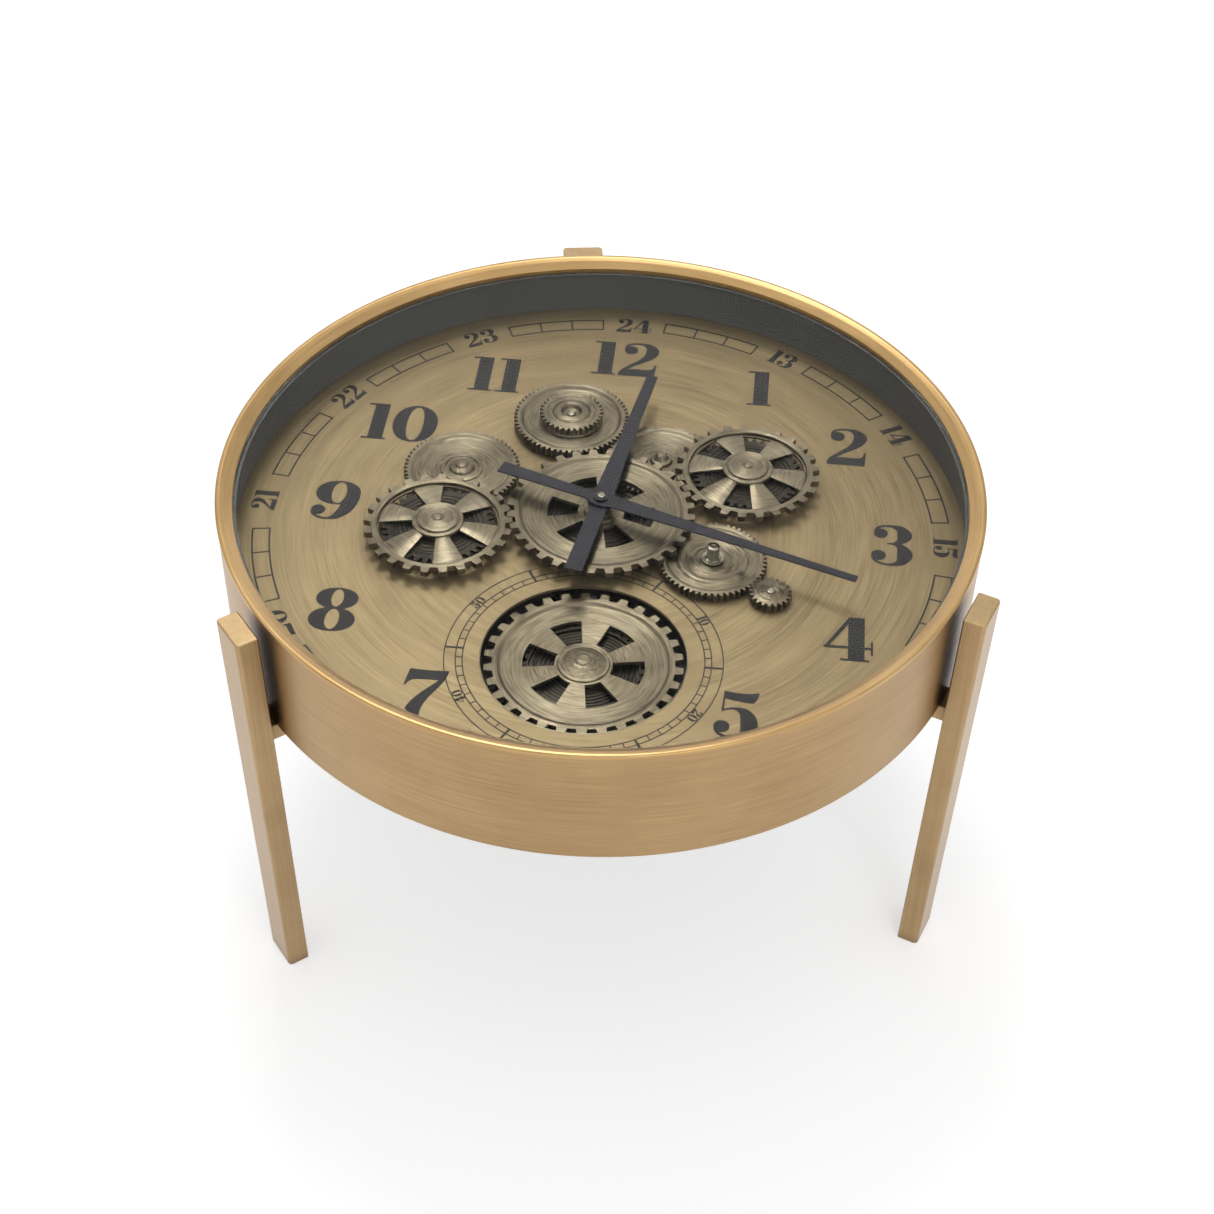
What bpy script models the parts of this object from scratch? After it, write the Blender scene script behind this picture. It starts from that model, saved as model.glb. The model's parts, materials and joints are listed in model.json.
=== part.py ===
"""Clock table: a round drum with a glass top over a gear clock, on three flat-bar legs.

Metres, +Z up. The origin is on the floor under the middle of the table's outline, and the
rear leg is at +Y. Every wheel, hand and knob has its origin on the axis that it turns on.
"""
from math import acos, cos, hypot, pi, radians, sin

import bmesh
import bpy
from mathutils import Vector

for old_object in list(bpy.data.objects):
    bpy.data.objects.remove(old_object, do_unlink=True)

# Clearances: between fixed pieces, and between pieces that run past each other
TOUCH = 0.0003
RUNNING = 0.0006

# Whole table
TABLE_HEIGHT = 0.381
RIM_RADIUS = 0.293
DRUM_HEIGHT = 0.1049
DIAL_DEPTH = 0.052

# Rim: a rounded outer edge, a shallow outer band, and a steeper inner band down to the glass
RIM_SEAM_DROP = 0.0035
RIM_ROUND_DROP = 0.0021
RIM_ROUND_INSET = 0.0009
RIM_TOP_INSET = 0.0030
RIM_CREASE_INSET = 0.0070
RIM_CREASE_DROP = 0.0020
RIM_WIDTH = 0.0126
RIM_SLOPE_DROP = 0.0060

# Drum
WALL_INSET = 0.0005
WALL_THICKNESS = 0.002
LINER_INSET = 0.0057
LINER_THICKNESS = 0.0020
LINER_FLANGE = 0.0012
GLASS_SEAT = 0.0022
GLASS_THICKNESS = 0.005
DIAL_THICKNESS = 0.002
BASE_THICKNESS = 0.003

# Dial openings
DIAL_HUB_HOLE = 0.014
SUBDIAL_HOLE = 0.0755

# Legs: flat bars that lean in a little towards the floor, each with an arm under the drum
LEG_THICKNESS = 0.0175
LEG_WIDTH = 0.0343
LEG_GAP = 0.0061
LEG_TOP_DROP = 0.0078
LEG_LEAN = 0.0053
LEG_EDGE_RADIUS = 0.003
LEG_END_ROUND = 0.0015
ARM_WIDTH = 0.023
ARM_HEIGHT = 0.015
ARM_REACH = 0.11
ARM_EDGE = 0.001
LEG_ANGLES = {"rear_leg": radians(90), "left_leg": radians(210), "right_leg": radians(330)}
ARM_SCREW_END = 0.022

# Coarse wheels: square teeth
COG_MODULE = 0.00445
COG_HEIGHT = 0.005
CENTRE_COGS = 32
SPOKED_COGS = 25
COG_ADDENDUM_SHARE = 0.40
COG_DEDENDUM_SHARE = 0.85
COG_TIP_SHARE = 0.19
COG_ROOT_SHARE = 0.28
SUBDIAL_COGS = 30
SUBDIAL_COG_MODULE = 0.00475

# Centre and subdial wheels: a flat toothed rim round a dished disc with six windows
DISH_DEPTH = 0.0022
COG_FACE_SHARES = ((0.945, 0.0), (0.915, 1.0))
WINDOW_COUNT = 6
CENTRE_WINDOWS = {"inner": 0.0180, "outer": 0.0420, "angle": radians(33), "facing": radians(-11.7)}
SUBDIAL_WINDOWS = {"inner": 0.0215, "outer": 0.0450, "angle": radians(32), "facing": radians(45.3)}
CENTRE_HUB_RADIUS = 0.0125
CENTRE_HUB_RISE = 0.0012
CENTRE_NECK_SHARE = 0.75
SUBDIAL_HUB_RADIUS = 0.0190
SUBDIAL_HUB_RISE = 0.0052
SUBDIAL_DOME_SHARES = ((1.0, 0.0), (0.95, 0.42), (0.72, 0.52), (0.60, 0.90), (0.30, 1.0))

# Spoked wheels: a flat toothed ring and six spokes that climb to a button hub, open underneath
SPOKED_RING_WIDTH = 0.0046
SPOKED_RING_DEPTH = 0.0022
SPOKE_TOP = 0.0092
SPOKE_THICKNESS = 0.0014
SPOKE_CROWN_SHARE = 0.62
SPOKE_COUNT = 6
SPOKE_GAPS = radians(37)
LEFT_GAPS_FACING = radians(10.1)
RIGHT_GAPS_FACING = radians(13.8)
BUTTON_RADIUS = 0.0200
BUTTON_RISE = 0.0024
BUTTON_EDGE = 0.0016
BUTTON_DOME = 0.0006

# Fine wheels: pointed teeth
FINE_MODULE = 0.0015
FINE_ADDENDUM_SHARE = 0.8
FINE_DEDENDUM_SHARE = 1.15
TOP_TEETH = 61
TOP_SMALL_TEETH = 33
UPPER_LEFT_TEETH = 60
UPPER_RIGHT_TEETH = 58
LOWER_RIGHT_TEETH = 54
SMALL_PINION_TEETH = 20
CENTRE_DISC_TEETH = 77
LEFT_PINION_TEETH = 40
RIGHT_PINION_TEETH = 36
NESTED_TEETH = 38
NESTED_MODULE = 0.0022
NESTED_HEIGHT = 0.0018
NESTED_NECK = 0.0150

# Layers of wheels above the dial, each counted from the one below
POST_FOOT = 0.0009
LOWER_LAYER = 0.0027
UPPER_LAYER = 0.0028
TOP_TEETH_HEIGHT = 0.0081
TOP_SMALL_HEIGHT = 0.0056

# Faces of the fine wheels: (share of the root radius, share of the face's dish)
DISHED_FACE_SHARES = ((0.93, 0.0), (0.89, 1.0))
STEPPED_FACE_SHARES = ((0.93, 0.0), (0.89, 1.0), (0.70, 1.0), (0.66, 0.0), (0.42, 0.45))
FACE_DISH = 0.0016
DOME_RADIUS = 0.0150
LOW_DOME_RADIUS = 0.0085
DOME_RISE = 0.0040
DOME_SHARES = ((1.0, 0.0), (0.94, 0.38), (0.66, 0.42), (0.56, 0.90), (0.26, 1.0))
SMALL_FACE_RISE = 0.0012
SMALL_FACE_SHARES = ((0.78, 0.0), (0.66, 1.0))
TOP_SMALL_FACE_SHARES = ((0.68, 0.0), (0.60, -1.0), (0.50, 1.0), (0.33, 1.0), (0.25, -2.4))

# Under-dial drive wheels
DRIVE_MODULE = 0.0025
DRIVE_TEETH = 36
IDLER_TEETH = 24
MOTOR_TEETH = 10
DRIVE_HEIGHT = 0.0038
DRIVE_DROP = 0.0101
DRIVE_HUB_RADIUS = 0.0090
SUBDIAL_RECESS = 0.0043

# Where the wheels stand, as directions seen from above and counted from +X
LEFT_DIRECTION = radians(184.5)
RIGHT_DIRECTION = radians(20.2)
TOP_DIRECTION = radians(98.4)
TOP_DISTANCE = 0.1224
UPPER_LEFT_DIRECTION = radians(75.7)
LOWER_RIGHT_DIRECTION = radians(-32.9)
SMALL_PINION_DIRECTION = radians(-43.7)
SUBDIAL_DIRECTION = radians(262.2)
MOTOR_DIRECTION = radians(150.0)
CENTRE_TURN = radians(2.0)

# Posts that the wheels turn on
POST_RADIUS = 0.0030
POST_FOOT_RADIUS = 0.0070
BORE_PLAY = 0.0005
TALL_POST_RADIUS = 0.0048
TALL_POST_COLLAR_RADIUS = 0.0085
TALL_POST_HEIGHT = 0.0206
TALL_COLLAR_HEIGHT = 0.0010
RIVET_PROUD = 0.0006

# Movement plate and what hangs on it
PLATE_DROP = 0.0220
PLATE_THICKNESS = 0.0020
SPACER_RADIUS = 0.0050
SPACER_INSET = 0.0130
SPACER_COUNT = 3
SPACER_START = radians(40)
PILLAR_RADIUS = 0.0050
PILLAR_INSET = 0.0182
PLATE_INSET = 0.0320
PILLAR_COUNT = 3
PILLAR_START = radians(30)
MOVEMENT_SIZE = 0.0560
MOVEMENT_HEIGHT = 0.0160
PIPE_RADIUS = 0.0055
PIPE_BORE = 0.0045
PIPE_TOP = 0.0182
PIPE_BORE_DEPTH = 0.0300
NUT_RADIUS = 0.0090
NUT_HEIGHT = 0.0030
CELL_RADIUS = 0.0071
CELL_LENGTH = 0.0495
CELL_OFFSET = 0.0170
KNOB_RADIUS = 0.0080
KNOB_HEIGHT = 0.0040
KNOB_OFFSET = 0.0150
KNOB_RIBS = 12
KNOB_RIB_SHARE = 0.88
MOTOR_RADIUS = 0.0185
MOTOR_HEIGHT = 0.0200
MOTOR_BOSS_RADIUS = 0.0060
MOTOR_SHAFT_RADIUS = 0.0030
BOX_SIZE = (0.0340, 0.0580)
BOX_HEIGHT = 0.0190
BOX_WALL = 0.0018
BOX_OFFSET = (0.0700, 0.0)

# Way in from below
ACCESS_HOLE = 0.108
COVER_RADIUS = 0.116
COVER_THICKNESS = 0.0015
COVER_SCREW_COUNT = 2
COVER_SCREW_CIRCLE = 0.112
SCREW_HEAD_RADIUS = 0.0050
SCREW_HEAD_HEIGHT = 0.0025
SCREW_TOP_SHARE = 0.7

# Hands
HOUR_LENGTH = 0.164
HOUR_TAIL = 0.082
HOUR_WIDTHS = {"tip": 0.0046, "root": 0.0155, "tail_root": 0.0130, "tail": 0.0140}
MINUTE_LENGTH = 0.210
MINUTE_TAIL = 0.087
MINUTE_WIDTHS = {"tip": 0.0042, "root": 0.0134, "tail_root": 0.0098, "tail": 0.0126}
HAND_THICKNESS = 0.0012
HAND_ROOT = 0.0120
HOUR_HUB = 0.0100
MINUTE_HUB = 0.0085
HOUR_COLLAR_RADIUS = 0.0080
HOUR_COLLAR_HEIGHT = 0.0030
MINUTE_COLLAR_RADIUS = 0.0062
MINUTE_COLLAR_HEIGHT = 0.0012
HOUR_TUBE_RADIUS = 0.0039
HOUR_TUBE_BORE = 0.0030
MINUTE_SHAFT_RADIUS = 0.0024
HOUR_TUBE_DEPTH = 0.0080
MINUTE_SHAFT_DEPTH = 0.0160
HAND_NUT_RADIUS = 0.0042
HAND_NUT_HEIGHT = 0.0030
HAND_NUT_SHARES = ((1.0, 0.0), (1.0, 0.45), (0.72, 0.85), (0.30, 1.0))
DIAL_TURN = radians(-8.7)
HOUR_ANGLE = radians(9.4)
MINUTE_ANGLE = radians(109.5)

# Sides of round shapes
LARGE_SIDES = 48
WIDE_SIDES = 36
WHEEL_SIDES = 24
BUTTON_SIDES = 18
HUB_SIDES = 12
SMALL_SIDES = 8
BORE_SIDES = 8

# Heights that follow from the sizes above
DIAL_TOP = TABLE_HEIGHT - DIAL_DEPTH
DRUM_BOTTOM = TABLE_HEIGHT - DRUM_HEIGHT
DIAL_BOTTOM = DIAL_TOP - DIAL_THICKNESS
GLASS_TOP = TABLE_HEIGHT - RIM_SLOPE_DROP - TOUCH
LOWER_BOTTOM = DIAL_TOP + 2 * TOUCH + POST_FOOT
LOWER_TOP = LOWER_BOTTOM + LOWER_LAYER
UPPER_BOTTOM = LOWER_TOP + RUNNING
UPPER_TOP = UPPER_BOTTOM + UPPER_LAYER
COG_BOTTOM = UPPER_TOP + RUNNING
PLATE_TOP = DIAL_TOP - PLATE_DROP
PLATE_BOTTOM = PLATE_TOP - PLATE_THICKNESS
DRIVE_TOP = DIAL_TOP - DRIVE_DROP
DRIVE_BOTTOM = DRIVE_TOP - DRIVE_HEIGHT
DRIVE_REST = DRIVE_BOTTOM - TOUCH
SUBDIAL_TOP = DIAL_TOP - SUBDIAL_RECESS
SUBDIAL_BOTTOM = SUBDIAL_TOP - COG_HEIGHT
BASE_TOP = DRUM_BOTTOM + BASE_THICKNESS
PIPE_END = DIAL_TOP + PIPE_TOP
HOUR_BOTTOM = PIPE_END + TOUCH
MINUTE_BOTTOM = HOUR_BOTTOM + HOUR_COLLAR_HEIGHT + HAND_THICKNESS + TOUCH

# The drum stands forward of the origin by half of what the rear leg sticks out
LEG_OUTER = RIM_RADIUS + LEG_GAP + LEG_THICKNESS
DRUM_CENTRE = Vector((0, (RIM_RADIUS - LEG_OUTER) / 2, 0))
WALL_RADIUS = RIM_RADIUS - WALL_INSET
INNER_RADIUS = WALL_RADIUS - WALL_THICKNESS
FITTED_RADIUS = INNER_RADIUS - TOUCH
GLASS_RADIUS = RIM_RADIUS - RIM_WIDTH - TOUCH
GLASS_BOTTOM = GLASS_TOP - GLASS_THICKNESS
SEAT_TOP = GLASS_BOTTOM - TOUCH
PILLAR_CIRCLE = FITTED_RADIUS - PILLAR_INSET
PLATE_RADIUS = PILLAR_CIRCLE - PLATE_INSET - PILLAR_RADIUS
SPACER_CIRCLE = PLATE_RADIUS - SPACER_INSET

# Finishes: colour, metallic, roughness
BRASS = ((0.50, 0.36, 0.19), 1.0, 0.36)
PALE_BRASS = ((0.52, 0.42, 0.27), 1.0, 0.42)
NICKEL = ((0.36, 0.34, 0.27), 1.0, 0.34)
DARK_NICKEL = ((0.10, 0.10, 0.09), 1.0, 0.42)
STEEL = ((0.42, 0.42, 0.40), 1.0, 0.30)
DARK_GREY = ((0.045, 0.045, 0.042), 0.0, 0.55)
BLACK = ((0.018, 0.018, 0.020), 0.0, 0.45)
GLASS = ((0.86, 0.90, 0.88), 0.0, 0.03)


def polar(distance, direction):
    return Vector((distance * cos(direction), distance * sin(direction), 0))


def ring(radius, height, sides):
    return [polar(radius, 2 * pi * i / sides) + Vector((0, 0, height)) for i in range(sides)]


def pitch_radius(count, module):
    return count * module / 2


def root_radius(count, module, share=FINE_DEDENDUM_SHARE):
    return pitch_radius(count, module) - share * module


def pointed_teeth(count, height, module=FINE_MODULE):
    """Outline of a fine wheel: one point at each tip and one at each root."""
    tip = pitch_radius(count, module) + FINE_ADDENDUM_SHARE * module
    root = root_radius(count, module)
    points = []
    for i in range(count):
        points.append(polar(tip, 2 * pi * i / count))
        points.append(polar(root, 2 * pi * (i + 1 / 2) / count))
    return [point + Vector((0, 0, height)) for point in points]


def square_teeth(count, height, module=COG_MODULE):
    """Outline of a coarse wheel: each tooth has a flat tip and leaning flanks."""
    tip = pitch_radius(count, module) + COG_ADDENDUM_SHARE * module
    root = root_radius(count, module, COG_DEDENDUM_SHARE)
    corners = ((root, -COG_ROOT_SHARE), (tip, -COG_TIP_SHARE), (tip, COG_TIP_SHARE),
               (root, COG_ROOT_SHARE))
    points = []
    for i in range(count):
        for radius, share in corners:
            points.append(polar(radius, 2 * pi * (i + share) / count) + Vector((0, 0, height)))
    return points


def fill_between(mesh, loops):
    """A flat face between closed loops at one height."""
    edges = []
    for corners in loops:
        for start, end in zip(corners, corners[1:] + corners[:1]):
            edges.append(mesh.edges.get((start, end)) or mesh.edges.new((start, end)))
    bmesh.ops.triangle_fill(mesh, use_beauty=True, edges=edges, normal=(0, 0, 1))


def skin(mesh, first, second):
    """Faces between two closed loops, whose numbers of corners may differ."""
    a, b = len(first), len(second)
    if a == b:
        for i in range(a):
            mesh.faces.new((first[i], first[(i + 1) % a], second[(i + 1) % a], second[i]))
        return
    if first[0].co.z == second[0].co.z:
        fill_between(mesh, (first, second))
        return
    i = j = 0
    while i < a or j < b:
        if j == b or (i < a and (i + 1) * b <= (j + 1) * a):
            mesh.faces.new((first[i % a], first[(i + 1) % a], second[j % b]))
            i += 1
        else:
            mesh.faces.new((first[i % a], second[(j + 1) % b], second[j % b]))
            j += 1


def add_stack(mesh, loops, bored=False, at=Vector()):
    """One closed body through a row of loops, with end faces or a bore that joins them."""
    rows = [[mesh.verts.new(point + at) for point in loop] for loop in loops]
    for first, second in zip(rows, rows[1:]):
        skin(mesh, first, second)
    if bored:
        skin(mesh, rows[-1], rows[0])
    else:
        mesh.faces.new(rows[0])
        mesh.faces.new(rows[-1])
    bmesh.ops.recalc_face_normals(mesh, faces=mesh.faces)
    return mesh


def stack(loops, bored=False):
    return add_stack(bmesh.new(), loops, bored)


def plate(outlines, bottom, top):
    """A flat plate: the first outline is its edge and the others are its holes."""
    mesh = bmesh.new()
    fill_between(mesh, [[mesh.verts.new((point.x, point.y, bottom)) for point in outline]
                        for outline in outlines])
    raised = bmesh.ops.extrude_face_region(mesh, geom=mesh.faces[:])["geom"]
    moved = [item for item in raised if isinstance(item, bmesh.types.BMVert)]
    bmesh.ops.translate(mesh, verts=moved, vec=(0, 0, top - bottom))
    bmesh.ops.recalc_face_normals(mesh, faces=mesh.faces)
    return mesh


def rounded_rectangle(length, width, radius, height, steps=3):
    """Outline of a bar's section, its longer way along X, with round corners."""
    points = []
    for quarter in range(4):
        right = 1 if quarter in (0, 3) else -1
        back = 1 if quarter in (0, 1) else -1
        middle = Vector((right * (length / 2 - radius), back * (width / 2 - radius), height))
        for step in range(steps):
            points.append(middle + polar(radius, pi / 2 * (quarter + step / (steps - 1))))
    return points


def box(length, width, bottom, top, middle=Vector()):
    corners = [Vector((x * length / 2, y * width / 2, 0)) + middle
               for x, y in ((-1, -1), (1, -1), (1, 1), (-1, 1))]
    return [[corner + Vector((0, 0, height)) for corner in corners] for height in (bottom, top)]


def add_object(name, mesh, finish, at=Vector(), turn=0.0, smooth=True):
    data = bpy.data.meshes.new(name)
    mesh.to_mesh(data)
    mesh.free()
    if smooth:
        data.shade_smooth()
        data.set_sharp_from_angle(angle=radians(32))
    piece = bpy.data.objects.new(name, data)
    piece.location = at
    piece.rotation_euler.z = turn
    bpy.context.scene.collection.objects.link(piece)
    if finish:
        colour, metallic, roughness = finish
        material = bpy.data.materials.new(name + "_finish")
        material.use_nodes = True
        shader = material.node_tree.nodes["Principled BSDF"]
        shader.inputs["Base Color"].default_value = (*colour, 1)
        shader.inputs["Metallic"].default_value = metallic
        shader.inputs["Roughness"].default_value = roughness
        if finish is GLASS:
            shader.inputs["Transmission Weight"].default_value = 1
        data.materials.append(material)
    return piece


def shape(piece, mesh, operation):
    """Cuts a mesh from a piece, or joins it on, in the piece's own frame."""
    tool = add_object(piece.name + "_" + operation.lower() + str(len(piece.modifiers)), mesh, None)
    tool.parent = piece
    tool.hide_render = True
    tool.display_type = "WIRE"
    modifier = piece.modifiers.new(operation.title(), "BOOLEAN")
    modifier.operation = operation
    modifier.solver = "EXACT"
    modifier.object = tool


def keep_cuts_crisp(pieces, angle=radians(32)):
    """Smooth shading that stops at every edge sharper than the angle, also along the cuts."""
    tree = bpy.data.node_groups.new("crisp_edges", "GeometryNodeTree")
    tree.interface.new_socket("Geometry", in_out="INPUT", socket_type="NodeSocketGeometry")
    tree.interface.new_socket("Geometry", in_out="OUTPUT", socket_type="NodeSocketGeometry")
    start = tree.nodes.new("NodeGroupInput")
    smooth = tree.nodes.new("GeometryNodeSetShadeSmooth")
    crease = tree.nodes.new("GeometryNodeSetShadeSmooth")
    crease.domain = "EDGE"
    crease.inputs["Shade Smooth"].default_value = False
    bend = tree.nodes.new("GeometryNodeInputMeshEdgeAngle")
    limit = tree.nodes.new("FunctionNodeCompare")
    limit.operation = "GREATER_THAN"
    limit.inputs["B"].default_value = angle
    end = tree.nodes.new("NodeGroupOutput")
    for source, target in ((start.outputs["Geometry"], smooth.inputs["Geometry"]),
                           (smooth.outputs["Geometry"], crease.inputs["Geometry"]),
                           (bend.outputs["Unsigned Angle"], limit.inputs["A"]),
                           (limit.outputs["Result"], crease.inputs["Selection"]),
                           (crease.outputs["Geometry"], end.inputs["Geometry"])):
        tree.links.new(source, target)
    for piece in pieces:
        piece.modifiers.new("Crisp edges", "NODES").node_group = tree


def sector_cutter(inner, outer, angle, count, facing, bottom, top):
    """Windows between the spokes of a wheel."""
    mesh = bmesh.new()
    for i in range(count):
        middle = facing + 2 * pi * i / count
        outline = [polar(inner, middle + angle * side / 2) for side in (1, -1)]
        outline += [polar(outer, middle + angle * side / 2) for side in (-1, 0, 1)]
        add_stack(mesh, [[p + Vector((0, 0, height)) for p in outline] for height in (bottom, top)])
    return mesh


def mesh_turn(turn, count, next_count, direction):
    """Turn of the next wheel that puts its gap over the tooth of the wheel before it."""
    step = 2 * pi / count
    next_step = 2 * pi / next_count
    return (direction + pi - next_step * (1 / 2 + (turn - direction) / step)) % next_step


def gear_distance(count, next_count, module):
    return pitch_radius(count, module) + pitch_radius(next_count, module)


def with_height(point, height):
    return Vector((point.x, point.y, height))


# Wheel centres and rest turns, worked outward from the centre wheel
SPOKED_DISTANCE = gear_distance(CENTRE_COGS, SPOKED_COGS, COG_MODULE)
LEFT_AT = DRUM_CENTRE + polar(SPOKED_DISTANCE, LEFT_DIRECTION)
RIGHT_AT = DRUM_CENTRE + polar(SPOKED_DISTANCE, RIGHT_DIRECTION)
TOP_AT = DRUM_CENTRE + polar(TOP_DISTANCE, TOP_DIRECTION)
UPPER_LEFT_AT = LEFT_AT + polar(
    gear_distance(LEFT_PINION_TEETH, UPPER_LEFT_TEETH, FINE_MODULE), UPPER_LEFT_DIRECTION)
LOWER_RIGHT_AT = DRUM_CENTRE + polar(
    gear_distance(CENTRE_DISC_TEETH, LOWER_RIGHT_TEETH, FINE_MODULE), LOWER_RIGHT_DIRECTION)
SMALL_PINION_AT = LOWER_RIGHT_AT + polar(
    gear_distance(LOWER_RIGHT_TEETH, SMALL_PINION_TEETH, FINE_MODULE), SMALL_PINION_DIRECTION)
IDLER_DISTANCE = gear_distance(DRIVE_TEETH, IDLER_TEETH, DRIVE_MODULE)
IDLER_AT = DRUM_CENTRE + polar(IDLER_DISTANCE, SUBDIAL_DIRECTION)
SUBDIAL_AT = DRUM_CENTRE + polar(2 * IDLER_DISTANCE, SUBDIAL_DIRECTION)
MOTOR_AT = DRUM_CENTRE + polar(
    gear_distance(DRIVE_TEETH, MOTOR_TEETH, DRIVE_MODULE), MOTOR_DIRECTION)


def upper_right_place():
    """The wheel that meshes with both the right pinion and the top wheel."""
    near = gear_distance(RIGHT_PINION_TEETH, UPPER_RIGHT_TEETH, FINE_MODULE)
    far = gear_distance(UPPER_RIGHT_TEETH, TOP_TEETH, FINE_MODULE)
    span = TOP_AT - RIGHT_AT
    side = acos((near ** 2 + span.length ** 2 - far ** 2) / (2 * near * span.length))
    return RIGHT_AT + polar(near, direction_of(span) + side)


def direction_of(vector):
    angle = acos(vector.x / hypot(vector.x, vector.y))
    return angle if vector.y >= 0 else -angle


UPPER_RIGHT_AT = upper_right_place()

LEFT_TURN = mesh_turn(CENTRE_TURN, CENTRE_COGS, SPOKED_COGS, LEFT_DIRECTION)
RIGHT_TURN = mesh_turn(CENTRE_TURN, CENTRE_COGS, SPOKED_COGS, RIGHT_DIRECTION)
UPPER_LEFT_TURN = mesh_turn(
    LEFT_TURN, LEFT_PINION_TEETH, UPPER_LEFT_TEETH, UPPER_LEFT_DIRECTION)
UPPER_RIGHT_TURN = mesh_turn(
    RIGHT_TURN, RIGHT_PINION_TEETH, UPPER_RIGHT_TEETH, direction_of(UPPER_RIGHT_AT - RIGHT_AT))
TOP_TURN = mesh_turn(
    UPPER_RIGHT_TURN, UPPER_RIGHT_TEETH, TOP_TEETH, direction_of(TOP_AT - UPPER_RIGHT_AT))
LOWER_RIGHT_TURN = mesh_turn(
    CENTRE_TURN, CENTRE_DISC_TEETH, LOWER_RIGHT_TEETH, LOWER_RIGHT_DIRECTION)
SMALL_PINION_TURN = mesh_turn(
    LOWER_RIGHT_TURN, LOWER_RIGHT_TEETH, SMALL_PINION_TEETH, SMALL_PINION_DIRECTION)
IDLER_TURN = mesh_turn(CENTRE_TURN, DRIVE_TEETH, IDLER_TEETH, SUBDIAL_DIRECTION)
SUBDIAL_TURN = mesh_turn(IDLER_TURN, IDLER_TEETH, DRIVE_TEETH, SUBDIAL_DIRECTION)
MOTOR_TURN = mesh_turn(CENTRE_TURN, DRIVE_TEETH, MOTOR_TEETH, MOTOR_DIRECTION)

POST_BORE = POST_RADIUS + BORE_PLAY
PIPE_CLEAR_BORE = PIPE_RADIUS + BORE_PLAY
TALL_BORE = TALL_POST_RADIUS + BORE_PLAY


def build_rim():
    """A ring whose spigot fits inside the wall and comes down beside the glass to its seat."""
    section = ((GLASS_RADIUS + TOUCH, -RIM_SLOPE_DROP), (RIM_RADIUS - RIM_CREASE_INSET, -RIM_CREASE_DROP),
               (RIM_RADIUS - RIM_TOP_INSET, 0), (RIM_RADIUS - RIM_ROUND_INSET, -RIM_ROUND_INSET),
               (RIM_RADIUS, -RIM_ROUND_DROP), (RIM_RADIUS, -RIM_SEAM_DROP),
               (FITTED_RADIUS, -RIM_SEAM_DROP), (FITTED_RADIUS, SEAT_TOP + TOUCH - TABLE_HEIGHT),
               (GLASS_RADIUS + TOUCH, SEAT_TOP + TOUCH - TABLE_HEIGHT))
    loops = [ring(radius, TABLE_HEIGHT + drop, LARGE_SIDES) for radius, drop in section]
    add_object("rim_bezel", stack(loops, bored=True), BRASS, DRUM_CENTRE)


def build_tube(name, outer, inner, bottom, top, finish, at=DRUM_CENTRE, sides=LARGE_SIDES):
    loops = [ring(inner, bottom, sides), ring(outer, bottom, sides), ring(outer, top, sides),
             ring(inner, top, sides)]
    add_object(name, stack(loops, bored=True), finish, at)


def build_liner():
    """The dark wall that stands on the dial, with a flange at its top that carries the glass."""
    inner = FITTED_RADIUS - LINER_INSET
    under = SEAT_TOP - LINER_FLANGE
    section = ((inner, DIAL_TOP + TOUCH), (inner + LINER_THICKNESS, DIAL_TOP + TOUCH),
               (inner + LINER_THICKNESS, under), (FITTED_RADIUS, under), (FITTED_RADIUS, SEAT_TOP),
               (GLASS_RADIUS - GLASS_SEAT, SEAT_TOP), (GLASS_RADIUS - GLASS_SEAT, under), (inner, under))
    loops = [ring(radius, height, LARGE_SIDES) for radius, height in section]
    add_object("inner_liner", stack(loops, bored=True), DARK_GREY, DRUM_CENTRE)


def build_drum():
    build_tube("drum_wall", WALL_RADIUS, INNER_RADIUS, DRUM_BOTTOM,
               TABLE_HEIGHT - RIM_SEAM_DROP - TOUCH, BRASS)
    build_liner()
    glass = [ring(GLASS_RADIUS, height, LARGE_SIDES) for height in (GLASS_BOTTOM, GLASS_TOP)]
    add_object("glass_top", stack(glass), GLASS, DRUM_CENTRE)
    subdial_hole = [point + SUBDIAL_AT - DRUM_CENTRE for point in ring(SUBDIAL_HOLE, 0, WIDE_SIDES)]
    dial = plate([ring(FITTED_RADIUS, 0, LARGE_SIDES), ring(DIAL_HUB_HOLE, 0, HUB_SIDES),
                  subdial_hole], DIAL_BOTTOM, DIAL_TOP)
    add_object("dial_plate", dial, PALE_BRASS, DRUM_CENTRE)
    base = plate([ring(FITTED_RADIUS, 0, LARGE_SIDES), ring(ACCESS_HOLE, 0, WHEEL_SIDES)],
                 DRUM_BOTTOM, BASE_TOP)
    add_object("base_plate", base, BLACK, DRUM_CENTRE)
    cover_top = DRUM_BOTTOM - TOUCH
    cover = [ring(COVER_RADIUS, height, WHEEL_SIDES)
             for height in (cover_top - COVER_THICKNESS, cover_top)]
    add_object("access_cover", stack(cover), BLACK, DRUM_CENTRE)


def around(radius, count, start):
    """Numbered places evenly spaced on a circle round the drum's axis."""
    return [(str(i + 1), DRUM_CENTRE + polar(radius, start + 2 * pi * i / count))
            for i in range(count)]


def screw_head(name, at, top):
    """A round head that stands under a face, seen from below."""
    profile = ((SCREW_TOP_SHARE, -SCREW_HEAD_HEIGHT), (1, -SCREW_HEAD_HEIGHT / 2), (1, 0))
    loops = [ring(SCREW_HEAD_RADIUS * share, top + drop, SMALL_SIDES) for share, drop in profile]
    add_object(name, stack(loops), STEEL, at)


def rod(name, at, radius, bottom, top):
    loops = [ring(radius, height, SMALL_SIDES) for height in (bottom, top)]
    add_object(name, stack(loops), STEEL, at)


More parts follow.
